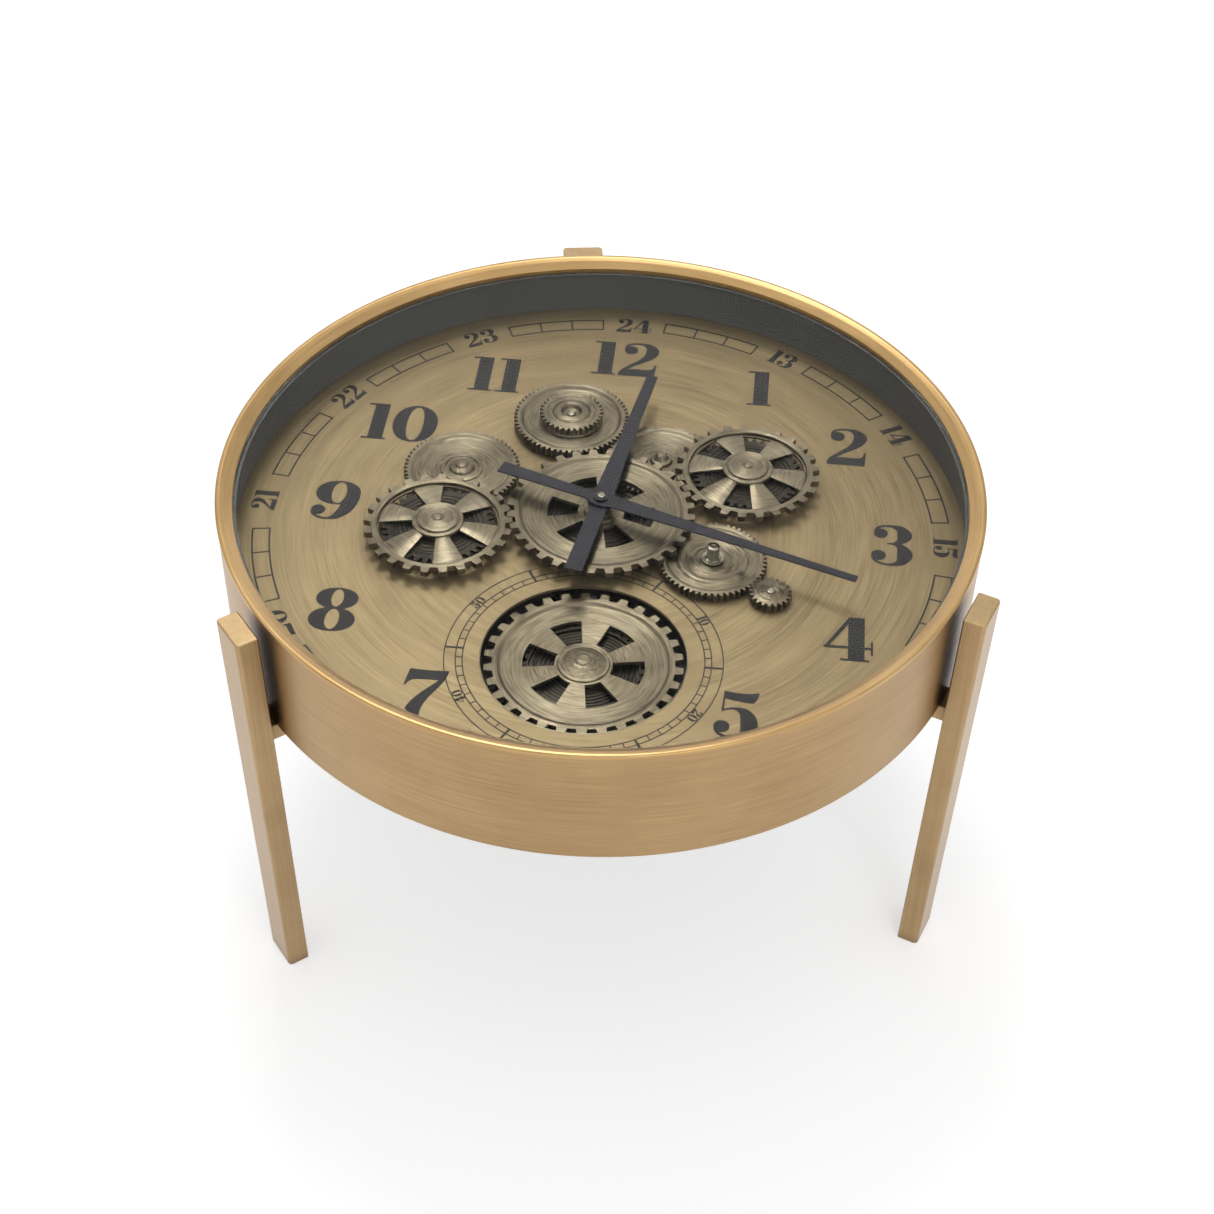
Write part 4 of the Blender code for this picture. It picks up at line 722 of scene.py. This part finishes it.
# share of the pitch at tip and root, tooth depth, edge rounding, fineness of the face rings
coarse = {"shares": (0.19, 0.28), "depth": 0.00556, "bevel": 0.00016, "sides": 96, "steps": 5}
fine = {"shares": (0.12, 0.34), "depth": 0.00292, "bevel": 0.0, "sides": 120, "steps": 4}
coarseHeight = 0.005

# face rings are (share of the root radius, rise from the top, rounding) and hub rings (radius, rise from
# the web, rounding), rivets have their height and then (distance, direction in degrees, radius) of each,
# and all of these are in tenths of a millimetre
coarseFace = ((0.972, 0, 0), (0.945, 0, 14), (0.912, -22, 16), (0.88, -22, 0))
fineFace = ((0.965, 0, 0), (0.93, 0, 8), (0.875, -16, 14), (0.84, -16, 0))
coarseWheels = {
    "centre_wheel": {
        "body": "centre_wheels", "teeth": 32, "top": coarseHeight, "low": cogLow.z,
        "windows": (0.0180, 0.0420, radians(33), radians(-11.7)), "face": coarseFace, "bore": 0.0060,
        "hub": ((135, 0, 0), (132, 12, 4), (100, 13, 3), (94, 13, 0), (92, 34, 4), (62, 36, 3), (60, 34, 0))},
    "subdial_wheel": {
        "body": "subdial_wheels", "teeth": 30, "top": coarseHeight, "depth": 0.00594,
        "low": dialTop - subdialDrop - coarseHeight, "face": coarseFace,
        "windows": (0.0215, 0.0450, radians(32), radians(45.3)),
        "hub": ((195, 0, 0), (191, 12, 4), (176, 14, 4), (168, 11, 3), (150, 18, 10), (110, 33, 20),
                (84, 43, 8), (66, 45, 4), (52, 53, 6), (28, 56, 5), (6, 56, 0)),
        "rivets": (28, [(560, 90 * i - 8.5943669, 10) for i in range(4)])},
}
fineWheels = {
    "upper_left_wheel": {
        "body": "upper_left", "teeth": 60, "top": 0.0061, "face": fineFace,
        "hub": ((172, 0, 0), (168, 10, 4), (150, 12, 4), (136, 12, 2), (132, 4, 2), (100, 4, 4), (92, 24, 8),
                (60, 34, 8), (52, 36, 3), (44, 50, 6), (8, 54, 0)),
        "rivets": (43, ((250, 200, 11), (255, 178, 9), (245, 50, 10)))},
    "upper_right_wheel": {
        "body": "upper_right", "teeth": 58, "top": 0.0028, "foot": 0.0033,
        "face": fineFace,
        "hub": ((150, 0, 0), (147, 6, 3), (128, 8, 3), (122, 4, 2), (92, 4, 3), (85, 30, 6), (60, 34, 6),
                (50, 50, 5), (36, 76, 8), (8, 80, 0)),
        "rivets": (10, ((225, 75, 10), (225, 95, 8), (230, 60, 8)))},
    "lower_right_wheel": {
        "body": "lower_right", "teeth": 54, "top": 0.0061, "bore": 0.0053,
        "face": ((0.965, 0, 0), (0.93, 0, 8), (0.885, -16, 12), (0.72, -16, 4), (0.68, -1, 6), (0.62, -1, 5),
                 (0.56, -12, 8), (0.50, -14, 0)),
        "hub": ((165, 2, 0), (162, 8, 3), (140, 9, 4), (132, 3, 2), (95, 3, 3), (52, 3, 0)),
        "rivets": (45, ((400, 322, 12),))},
    "small_pinion": {
        "body": "pinion", "teeth": 20, "top": 0.0061, "bore": 0.0035,
        "face": ((0.93, 0, 0), (0.86, 2, 2)),
        "hub": ((98, 2, 0), (92, 10, 4), (74, 12, 3), (70, 4, 2), (50, 4, 2), (35, 4, 0))},
    "top_wheel": {
        "body": "top_wheels", "teeth": 61, "top": 0.0081, "bore": 0.0035,
        "face": ((0.965, 0, 0), (0.935, 0, 8), (0.88, -26, 16), (0.86, -26, 0)),
        "hub": ((240, 0, 0), (236, 8, 4), (222, 10, 3), (218, 26, 3), (35, 26, 0))},
    "top_small_wheel": {
        "body": "top_wheels", "teeth": 33, "top": 0.0056, "bore": 0.0035,
        "face": ((0.94, 0, 0), (0.86, 0, 3), (0.83, -6, 3), (0.70, -6, 0)),
        "hub": ((158, 0, 0), (150, -8, 4), (143, 3, 4), (125, 12, 6), (92, 15, 6), (80, 8, 4), (66, -22, 8),
                (35, -26, 0))},
}


def windowOutlines(windows, turn, count=6):
    nearest, furthest, angle, facing = windows
    outlines = []
    for i in range(count):
        middle = facing - turn + 2 * pi * i / count
        inner = [polar(nearest, middle + angle / 2 * (1 - step / 3)) for step in range(7)]
        outer = [polar(furthest, middle - angle / 2 * (1 - step / 5)) for step in range(11)]
        outlines.append(inner + outer)
    return outlines


def wheelMesh(teeth, top, face, hub, windows, bore, sides, hubSides=64):
    # toothed rim, then the face rings down to a flat web with windows, then the hub rings
    mesh = bmesh.new()

    def row(points):
        return [mesh.verts.new(point) for point in points]

    def rings(last, section, sides):
        for point in section:
            following = row(ring(point[0], point[1], sides))
            skin(mesh, last, following)
            last = following
        return last
    bottom, last = row(teeth(0)), row(teeth(top))
    skin(mesh, bottom, last)
    last = rings(last, face, sides)
    web = hub[0][1]
    centre = row(ring(hub[0][0], web, hubSides))
    upper, lower = ([row([Vector((p.x, p.y, height)) for p in outline]) for outline in windows]
                    for height in (web, 0))
    fillBetween(mesh, [last, centre] + upper)
    for first, second in zip(upper, lower):
        skin(mesh, first, second)
    last = rings(centre, hub[1:], hubSides)
    if bore:
        end = row(ring(bore, 0, hubSides))
        skin(mesh, last, end)
        fillBetween(mesh, [bottom, end] + lower)
    else:
        mesh.faces.new(last)
        fillBetween(mesh, [bottom] + lower)
    return mesh


def buildWheel(node, look, cut):
    centre = axisOf(look["body"])
    root, turn, teeth = teethAt(node, centre, look["teeth"], look.get("depth", cut["depth"]), cut["shares"])
    face = rounded(profile(look["face"], root, look["top"]), cut["steps"])
    web = face[-1][1]
    hub = rounded([(radius, web + rise, bend) for radius, rise, bend in tenths(look["hub"])], 3)
    windows = windowOutlines(look["windows"], turn) if "windows" in look else []
    low = look.get("low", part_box(node)[0].z + look.get("foot", 0.0))
    mesh = wheelMesh(teeth, look["top"], face, hub, windows, look.get("bore"), cut["sides"])
    addPiece(camelName(node), mesh, "gearNickel", look["body"], [node], above(centre, low), turn,
             cut["bevel"], 30)


spoked = {
    "teeth": 25, "ringWidth": 0.0046, "ringDrop": 0.0022, "spokeTop": 0.0070, "spokeThickness": 0.0014,
    "spokeAngle": radians(30), "count": 6, "crown": 0.0007, "button": 0.0200, "buttonRise": 0.0024,
    "overlapIn": 0.0015, "overlapOut": 0.0006, "curve": 0.62, "landInset": 0.0009, "bandBend": 0.0004,
    "ledge": 0.0012, "ledgeDrop": 0.0030,
    "gaps": {"left": radians(10.1), "right": radians(13.8)},
    # the button's rings: share of its radius, rise from its top, rounding
    "rings": ((1, -17, 4), (0.97, -14, 2), (0.86, -14, 2), (0.84, -18, 1), (0.80, -18, 1), (0.79, -3, 4),
              (0.75, 0, 3), (0.62, 0, 2), (0.60, -3, 1), (0.56, -3, 1), (0.54, 0, 2), (0.24, 4, 2),
              (0.22, -2, 1), (0.17, -2, 1), (0.15, 8, 3), (0.04, 12, 0)),
}


def spokeMesh(inner, outer, low, direction):
    # one spoke as a curved leaf that rises to the hub, rounded across its width
    mesh = bmesh.new()
    lengths, widths = 10, 8
    upper, lower = sheets = [], []
    for rows, drop in zip(sheets, (0.0, spoked["spokeThickness"])):
        for i in range(lengths + 1):
            t = i / lengths
            radius = outer + (inner - outer) * t
            height = low + (spoked["spokeTop"] - low) * t ** spoked["curve"] - drop
            rows.append([mesh.verts.new(polar(radius, direction + spoked["spokeAngle"] * (j / widths - 0.5),
                                              height - spoked["crown"] * (2 * j / widths - 1) ** 2))
                         for j in range(widths + 1)])
    for rows in sheets:
        for i in range(lengths):
            for j in range(widths):
                mesh.faces.new((rows[i][j], rows[i][j + 1], rows[i + 1][j + 1], rows[i + 1][j]))
    edge = [(i, 0) for i in range(lengths)] + [(lengths, j) for j in range(widths)]
    edge += [(i, widths) for i in range(lengths, 0, -1)] + [(0, j) for j in range(widths, 0, -1)]
    for (a, b), (c, d) in zip(edge, edge[1:] + edge[:1]):
        mesh.faces.new((upper[a][b], upper[c][d], lower[c][d], lower[a][b]))
    return mesh


def joined(meshes):
    # several closed shells in one mesh, each with its faces outward
    whole = bmesh.new()
    for mesh in meshes:
        bmesh.ops.recalc_face_normals(mesh, faces=mesh.faces[:])
        pour(mesh, whole)
    return whole


def buildSpokedWheel(side):
    node, body = side + "_spoked_wheel", side + "_wheels"
    centre = axisOf(body)
    root, turn, teeth = teethAt(node, centre, spoked["teeth"], coarse["depth"], coarse["shares"])
    inner = root - spoked["ringWidth"]
    high = coarseHeight
    bend, ledge, drop = spoked["bandBend"], inner - spoked["ledge"], high - spoked["ledgeDrop"]
    band = rounded(((root - spoked["landInset"], high, 0), (inner + bend, high, bend),
                    (inner, high - bend, bend / 2), (inner, drop, 0), (ledge, drop - bend, 0),
                    (ledge, 0, 0)), 2)
    loops = [teeth(0), teeth(high)] + [ring(p[0], p[1], coarse["sides"]) for p in band]
    leaves = [spokeMesh(spoked["button"] - spoked["overlapIn"], inner + spoked["overlapOut"],
                        high - spoked["ringDrop"],
                        spoked["gaps"][side] - turn + 2 * pi * (i + 0.5) / spoked["count"])
              for i in range(spoked["count"])]
    base = (spoked["button"], spoked["spokeTop"] - spoked["spokeThickness"], 0)
    button = profile(spoked["rings"], spoked["button"], spoked["spokeTop"] + spoked["buttonRise"])
    hub = turned(rounded([base] + button, 3), 72, False)
    for name, mesh, material, bevel, crisp in (
            ("Ring", addStack(bmesh.new(), loops, True), "gearNickel", coarse["bevel"], 30),
            ("Spokes", joined(leaves), "hubNickel", 0, 40), ("Hub", hub, "hubNickel", 0, 45)):
        addPiece(side + "Spoked" + name, mesh, material, body, [node], above(centre, cogLow.z), turn,
                 bevel, crisp)


rivetDome = ((0.8, 0.5), (0.4, 0.68))  # rings of a rivet's head, as shares of its radius
rivetEdge = 0.0002


def buildRivets():
    for node, look in {**fineWheels, **coarseWheels}.items():
        if "rivets" not in look:
            continue
        rise, places = look["rivets"]
        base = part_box(node)[0].z + look.get("foot", 0.0) + rise / 10000
        heads = []
        for distance, direction, size in places:
            radius = size / 10000
            dome = [(radius, -touch), (radius, rivetEdge)]
            dome += [(radius * out, radius * up) for out, up in rivetDome]
            head = turned(dome, 20, False)
            bmesh.ops.translate(head, verts=head.verts[:], vec=polar(distance / 10000, radians(direction)))
            heads.append(head)
        addPiece(camelName(node).removesuffix("Wheel") + "Rivets", joined(heads), "hubNickel", look["body"],
                 at=above(axisOf(look["body"]), base), crisp=60)


def grooves(radii, height, width=0.0005, depth=0.0005):
    # rings of (radius, height) that cut grooves in a flat face
    points = []
    for radius in radii:
        points += [(radius + width, height), (radius + width / 2, height - depth),
                   (radius - width / 2, height - depth), (radius - width, height)]
    return [ring(x, z, 96) for x, z in points]


def addUnderWheel(name, node, body, loops, turn):
    # the wheels underneath get the darker nickel: painted shade
    addPiece(name, addStack(bmesh.new(), loops, True), "shadedUnderNickel", body, [node],
             above(axisOf(body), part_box(node)[0].z), turn, 0, 30)


underWheels = {
    # teeth and height of the small pinion under each spoked wheel
    "left": (40, 0.0027), "right": (36, 0.0028), "pinionModule": 0.0015,
    "discTeeth": 38, "discShares": (0.16, 0.34), "discDepth": 0.00429, "discHeight": 0.0018,
    "neck": 0.0150, "bore": 0.0035, "grooves": (0.0345, 0.0310, 0.0275, 0.0240),
}
centreDisc = {"teeth": 77, "layer": 0.0027, "boss": 0.0180, "tube": 0.0090, "bore": 0.0060,
              "grooves": (0.0430, 0.0385, 0.0340, 0.0295, 0.0250, 0.0215)}
driveGear = {"teeth": 36, "shares": (0.10, 0.36), "depth": 0.0049, "recess": 0.0024, "land": 0.0012,
             "hub": 0.0196, "bore": 0.0035, "grooves": (0.0375, 0.0345, 0.0315, 0.0285, 0.0255, 0.0225)}


def buildUnderWheel(side):
    # the small pinion and the grooved disc that shows between the spokes
    node, body, look = side + "_under_gear", side + "_wheels", underWheels
    centre = axisOf(body)
    count, layer = look[side]
    bottom = cogLow.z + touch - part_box(node)[0].z
    top = bottom + look["discHeight"]
    _, turn, disc = teethAt(node, centre, look["discTeeth"], look["discDepth"], look["discShares"])
    tip = count * look["pinionModule"] / 2 + 0.8 * look["pinionModule"]
    pinion = partial(toothLoop, count, tip, tip - fine["depth"], *fine["shares"])
    loops = [ring(look["bore"], 0, 32), pinion(0), pinion(layer), ring(look["neck"], layer, 64),
             ring(look["neck"], bottom, 64), disc(bottom), disc(top), *grooves(look["grooves"], top),
             ring(look["bore"], top, 32)]
    addUnderWheel(side + "UnderWheel", node, body, loops, turn)


def buildCentreDisc():
    node, look = "centre_disc_gear", centreDisc
    place, _, tall = standing(node)
    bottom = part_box("top_wheel")[0].z - place.z
    top = bottom + look["layer"]
    _, turn, teeth = teethAt(node, drumCentre, look["teeth"], fine["depth"], fine["shares"])
    loops = [ring(look["bore"], 0, 32), ring(look["tube"], 0, 48), ring(look["tube"], bottom, 48),
             teeth(bottom), teeth(top), *grooves(look["grooves"], top, 0.0008, 0.0008),
             ring(look["boss"], top, 64), ring(look["boss"], tall, 64), ring(look["bore"], tall, 32)]
    addUnderWheel("centreDisc", node, "centre_wheels", loops, turn)


def buildDriveGear():
    # recessed and grooved, since it shows through the subdial wheel's windows
    node, look = "subdial_drive_gear", driveGear
    top = standing(node)[2]
    web = top - look["recess"]
    root, turn, teeth = teethAt(node, subdialCentre, look["teeth"], look["depth"], look["shares"])
    loops = [ring(look["bore"], 0, 32), teeth(0), teeth(top), ring(root - look["land"], top, 96),
             ring(root - 1.4 * look["land"], web, 96), *grooves(look["grooves"], web, 0.0008, 0.0006),
             ring(look["hub"], web, 64), ring(look["hub"] - touch, top, 64), ring(look["bore"], top, 32)]
    addUnderWheel("subdialDriveGear", node, "subdial_wheels", loops, turn)


for node, look in coarseWheels.items():
    buildWheel(node, look, coarse)
for side in ("left", "right"):
    buildSpokedWheel(side)
for node, look in fineWheels.items():
    buildWheel(node, look, fine)
for side in ("left", "right"):
    buildUnderWheel(side)
buildCentreDisc()
buildRivets()
buildDriveGear()
print("wheels built")

posts = {
    "foot": 0.0070, "footHeight": 0.0009, "radius": 0.0030, "tallRadius": 0.0048, "sides": 40,
    "collar": 0.0085, "collarHeight": 0.0010, "neck": (1.35, 1.3), "cap": 0.0012, "nodes": (
        "left_post", "right_post", "upper_left_post", "upper_right_post", "top_post", "pinion_post"),
    # the tops of the posts: share of the radius, rise from the top, rounding
    "top": ((1, -5, 4), (0.72, 0, 4), (0.34, 0, 2), (0.26, -5, 2), (0.05, -5, 0)),
    "tallTop": ((1, -12, 2), (1, -4, 4), (0.8, 0, 4), (0.42, 0, 2), (0.36, -10, 2), (0.05, -10, 0)),
    # shallow grooves up the tall post: share of the radius, share of one groove's height, rounding
    "grooves": ((1, 0.12, 0), (1, 0.72, 0.0002), (0.86, 0.80, 0), (0.86, 0.94, 0)), "turns": 5,
    # the hand nut: share of its radius, share of its height, rounding
    "nut": ((1, 0, 0), (1, 0.30, 0.0002), (0.70, 0.34, 0.0001), (0.66, 0.88, 0.0004), (0.52, 1, 0.0003),
            (0.05, 1, 0)),
    # dark rings round the hand nut: share of its radius, bottom and top as shares of its height
    "rings": ((1.45, 0.0, 0.20), (1.36, 0.27, 0.45), (1.22, 0.52, 0.68)), "waist": 0.86, "ringHole": 0.72,
}


def buildPosts():
    foot, rise = posts["foot"], posts["footHeight"]
    for node in (*posts["nodes"], "tall_post"):
        place, _, tall = standing(node)
        isTall = node == "tall_post"
        r = posts["tallRadius" if isTall else "radius"]
        corners = [(foot, 0, 0), (foot, rise, 0.0003), (r, rise, 0 if isTall else 0.0002)]
        if isTall:
            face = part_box("lower_right_wheel")[1].z + touch - place.z
            collar, step = posts["collar"], posts["collarHeight"]
            corners += [(r, face, 0), (collar, face, 0.0002), (collar, face + step, 0.0004),
                        (r * posts["neck"][0], face + step, 0.0002),
                        (r * posts["neck"][1], face + 2 * step, 0.0004)]
            start = face + 2 * step
            step = (tall - posts["cap"] - start) / posts["turns"]
            for i in range(posts["turns"]):
                corners += [(r * across, start + i * step + step * up, bend)
                            for across, up, bend in posts["grooves"]]
        corners += profile(posts["tallTop" if isTall else "top"], r, tall)
        addPiece(camelName(node) + "Pin", turned(rounded(corners, 3), posts["sides"], False), "postSteel",
                 "table", [node], place)


def buildHandNut():
    place, r, tall = standing("hand_nut")
    section = rounded([(r * across, tall * up, bend) for across, up, bend in posts["nut"]])
    addPiece("handNutCap", turned(section, 48, False), "postSteel", "minute", ["hand_nut"],
             place)
    corners = []
    for share, bottom, top in posts["rings"]:
        wide, narrow, low, high = share * r, share * r * posts["waist"], tall * bottom, tall * top
        corners += [(narrow, low, 0), (wide, low, 0.0001), (wide, high, 0.0001), (narrow, high, 0)]
    inner = r * posts["ringHole"]
    corners += [(inner, high, 0), (inner, 0, 0)]
    addPiece("handCollar", turned(rounded(corners, 2, closed=True), 48), "collarBlack", "minute",
             at=place)


hands = {
    # widths (distance from the axis, width) from the tip to the hub, then the tail's two widths
    "hour": {"widths": ((1.0, 0.0092), (0.104, 0.0104), (0.064, 0.0120), (0.012, 0.0160)),
             "tail": (0.0130, 0.0140), "hub": 0.0100, "collar": (0.0080, 0.0030), "tube": 0.0039,
             "bore": 0.0030},
    "minute": {"widths": ((1.0, 0.0064), (0.136, 0.0078), (0.012, 0.0134)), "tail": (0.0098, 0.0126),
               "hub": 0.0085, "collar": (0.0062, 0.0012), "tube": 0.0024, "bore": 0.0},
}
handShape = {"thickness": 0.0012, "root": 0.0120, "overlap": 0.0004, "bevel": 0.00025, "sides": 64}


def buildHands():
    for name, look in hands.items():
        node = name + "_hand"
        low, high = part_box(node)
        spots = [Vector((p.x - drumCentre.x, p.y - drumCentre.y)) for p in nodePoints(node)]
        reach = max(spot.length for spot in spots)
        tip = sum((spot for spot in spots if spot.length > reach - touch), Vector((0, 0))).normalized()
        length = max(spot.dot(tip) for spot in spots)
        back = -min(spot.dot(tip) for spot in spots)
        hub, root, sides = look["hub"], handShape["root"], handShape["sides"]
        side = [(width / 2, min(place, length)) for place, width in look["widths"]]
        side += [(hub, hub / 2), (hub, -hub / 2), (look["tail"][0] / 2, -root), (look["tail"][1] / 2, -back)]
        outlines = [side + [(-x, y) for x, y in side[::-1]]]
        bottom = high.z - handShape["thickness"]
        inside = bottom + handShape["overlap"]
        collar, drop = look["collar"]
        section = [(look["tube"], low.z), (look["tube"], bottom - drop), (collar, bottom - drop),
                   (collar, inside)]
        if look["bore"]:
            outlines.append(ring(look["bore"], 0, sides))
            section += [(look["bore"], inside), (look["bore"], low.z)]
        mesh = joined([plate(outlines, bottom, high.z), turned(section, sides, bool(look["bore"]))])
        addPiece(name + "Hand", mesh, "handBlack", name, [node], drumCentre,
                 atan2(tip.y, tip.x) - pi / 2, handShape["bevel"])


# shares of the radius, but edge and recess are shares of the height
screwLook = {"sides": 40, "face": 0.72, "lip": 0.66, "arm": 0.46, "width": 0.10, "edge": 0.45, "recess": 0.55,
             "narrowing": 0.8}
screwNodes = ("pillar_screw_1", "pillar_screw_2", "pillar_screw_3", "cover_screw_1", "cover_screw_2",
              "left_leg_screw", "right_leg_screw", "rear_leg_screw")


def buildScrews():
    # domed heads seen from below, each with a crossed recess
    for node in screwNodes:
        place, r, tall = standing(node)
        arm, half = screwLook["arm"] * r, screwLook["width"] * r
        cross = [(arm, -half), (arm, half), (half, half), (half, arm), (-half, arm), (-half, half)]
        cross += [(-x, -y) for x, y in cross]
        section = rounded(((r, tall, 0), (r, tall * screwLook["edge"], 0.0004),
                           (r * screwLook["face"], 0, 0.0008), (r * screwLook["lip"], 0, 0)))
        loops = [ring(p[0], p[1], screwLook["sides"]) for p in section]
        loops += [[(x * share, y * share, height) for x, y in cross]
                  for share, height in ((1, 0), (screwLook["narrowing"], tall * screwLook["recess"]))]
        mesh = addStack(bmesh.new(), loops)
        addPiece(camelName(node) + "Head", mesh, "screwSteel", "table", [node], place)


buildHands()
buildPosts()
buildHandNut()
buildScrews()
print("hands, posts and screws built")

legs = {
    "thickness": 0.0175, "width": 0.0343, "lean": 0.0053,
    "outerRounding": 0.0034, "innerRounding": 0.0014, "endRounding": 0.0014,
    "armWidth": 0.0230, "armHeight": 0.0150, "armReach": 0.1100, "armRounding": 0.0014,
    "directions": {"rear_leg": radians(90), "left_leg": radians(210), "right_leg": radians(330)},
}


def roundedBar(length, width, roundings, shrink, steps=6):
    # section of a bar with its own rounding at each corner, from the outer right corner on
    points = []
    for quarter, rounding in enumerate(roundings):
        right = 1 if quarter in (0, 3) else -1
        back = 1 if quarter in (0, 1) else -1
        radius = max(rounding - shrink, 0.0004)
        middle = Vector((right * (length / 2 - shrink - radius), back * (width / 2 - shrink - radius), 0))
        for step in range(steps + 1):
            points.append(middle + polar(radius, pi / 2 * (quarter + step / steps)))
    return points


def buildLegs():
    look = legs
    bend = look["endRounding"]
    wide = look["outerRounding"], look["innerRounding"], look["innerRounding"], look["outerRounding"]
    ends = [(bend * (1 - cos(pi / 8 * i)), bend * (1 - sin(pi / 8 * i))) for i in range(5)]
    for node, direction in look["directions"].items():
        outward = polar(1, direction)
        points = nodePoints(node)
        reach = max((p - drumCentre).dot(outward) for p in points)
        tall = max(p.z for p in points)
        loops = []
        for height, shrink in ends + [(tall - h, inset) for h, inset in reversed(ends)]:
            lean = Vector((look["lean"] * (height / tall - 1), 0, height))
            loops.append([p + lean for p in roundedBar(look["thickness"], look["width"], wide, shrink)])
        middle = wallLow.z - touch - look["armHeight"] / 2
        rows = [[Vector((end, p.x, middle + p.y)) for p in
                 roundedBar(look["armWidth"], look["armHeight"], [look["armRounding"]] * 4, shrink)]
                for end, shrink in ((0.0, 0.0), (bend - look["armReach"], 0.0), (-look["armReach"], bend))]
        mesh = joined([addStack(bmesh.new(), loops), addStack(bmesh.new(), rows)])
        piece = addPiece(camelName(node) + "Bar", mesh, "legBrass", "table", [node],
                         drumCentre + polar(reach - look["thickness"] / 2, direction), direction)
        # the upward faces at the tops of the legs get the lighter tone: painted light from above
        piece.data.materials.append(made["legEnd"])
        for face in piece.data.polygons:
            if face.normal.z > 0.6 and face.center.z > tall - 2 * bend:
                face.material_index = 1


buildLegs()
print("legs built")

keptNodes = {
    # painted shade: the gears under the dial take the darker nickel
    "shadedUnderNickel": ("centre_drive_gear", "idler_gear", "motor_pinion"),
    "postSteel": ("pillar_1", "pillar_2", "pillar_3", "plate_spacer_1", "plate_spacer_2", "plate_spacer_3",
                  "gear_motor"),
    "basePaint": ("base_plate", "access_cover"),
    "insidePaint": ("movement_plate",),
    "movementPlastic": ("clock_movement", "setting_knob", "battery_box"),
    "nutBrass": ("movement_nut",),
    "cellWrap": ("clock_cell", "box_cell_left", "box_cell_right"),
}


def finishKeptNodes():
    for name, nodes in keptNodes.items():
        for kept in nodes:
            material = finish(name + "On_" + kept, finishes[name], above(boxMiddle(kept), 0))
            data = frame["nodes"][kept].data
            data.materials.clear()
            data.materials.append(material)


finishKeptNodes()
print("kept nodes finished")

stageLook = {
    "floorSize": 18, "floorColour": (0.84, 0.84, 0.84, 1), "floorRough": 0.9,
    # the floor's own light: from this near to this far, from this level to this one
    "floorLift": (1.2, 4.5, 0.5, 0.80),
    # the level that lights the scene, and the room that gloss meets
    "worldLevel": 0.55, "roomScale": 2.6, "roomLevels": (0.35, 0.65, 0.62, 1.2),
}


def seenBy(tree, *rays):
    # 1 for any of these kinds of ray
    path = addNode(tree, "LightPath", {})
    level = path[rays[0]]
    for ray in rays[1:]:
        level = mathNode(tree, "MAXIMUM", level, path[ray])
    return level


def buildFloor():
    half = stageLook["floorSize"] / 2
    mesh = bmesh.new()
    mesh.faces.new([mesh.verts.new((x * half, y * half, 0)) for x, y in ((-1, -1), (1, -1), (1, 1), (-1, 1))])
    data = bpy.data.meshes.new("floor")
    mesh.to_mesh(data)
    mesh.free()
    material, tree, shader = newMaterial("paleFloor")
    # the lamps fade with distance, so the floor's own light grows there
    lift = mapped(tree, vectorNode(tree, "LENGTH", objectPlace(tree)), stageLook["floorLift"])
    direct = seenBy(tree, "Is Camera Ray", "Is Glossy Ray", "Is Transmission Ray")
    setInputs(shader, {"Base Color": stageLook["floorColour"], "Roughness": stageLook["floorRough"],
                       "Specular IOR Level": 0.0, "Emission Color": (1, 1, 1, 1),
                       "Emission Strength": mathNode(tree, "MULTIPLY", direct, lift)})
    data.materials.append(material)
    placed("floor", data)


def buildWorld():
    world = bpy.data.worlds.new("paleRoom")
    world.use_nodes = True
    tree = world.node_tree
    light = stageLook["worldLevel"]
    # gloss meets a room with soft bright and dark parts, the camera plain white
    facing = addNode(tree, "TexCoord", {})["Generated"]
    room = mapped(tree, noise(tree, facing, stageLook["roomScale"], 1.0), stageLook["roomLevels"])
    plain = mapped(tree, seenBy(tree, "Is Camera Ray", "Is Transmission Ray"), (0, 1, light, 1))
    more = mathNode(tree, "SUBTRACT", room, light)
    gloss = mathNode(tree, "MULTIPLY", seenBy(tree, "Is Glossy Ray"), more)
    setInputs(tree.nodes["Background"],
              {"Color": (1, 1, 1, 1), "Strength": mathNode(tree, "ADD", plain, gloss)})
    scene.world = world


lamps = {
    "keyLamp": {"at": (-0.15, 0.92, 2.3), "size": 0.8, "watts": 13},
    "frontLamp": {"at": (0.7, -2.2, 1.6), "size": 1.2, "watts": 8},
    "backLamp": {"at": (0.4, 2.6, 0.9), "size": 2.0, "watts": 3},
}


def buildLamps():
    target = above(drumCentre, dialTop)
    for name, look in lamps.items():
        data = bpy.data.lights.new(name, "AREA")
        data.shape = "DISK"
        data.size = look["size"]
        data.energy = look["watts"]
        place = Vector(look["at"])
        placed(name, data, place, (target - place).to_track_quat("-Z", "Y").to_euler())


cameraLook = {"at": (-0.07932, -1.22521, 1.39990), "turn": (46.3085, -0.9605, -3.1228), "lens": 61.40,
              "sensor": 36, "furthest": 30}


def buildCamera():
    data = bpy.data.cameras.new("photoCamera")
    data.lens = cameraLook["lens"]
    data.sensor_width = cameraLook["sensor"]
    data.clip_end = cameraLook["furthest"]
    turn = [radians(angle) for angle in cameraLook["turn"]]
    scene.camera = placed("photoCamera", data, cameraLook["at"], turn)


buildFloor()
buildWorld()
buildLamps()
buildCamera()
print("stage, lamps and camera placed")
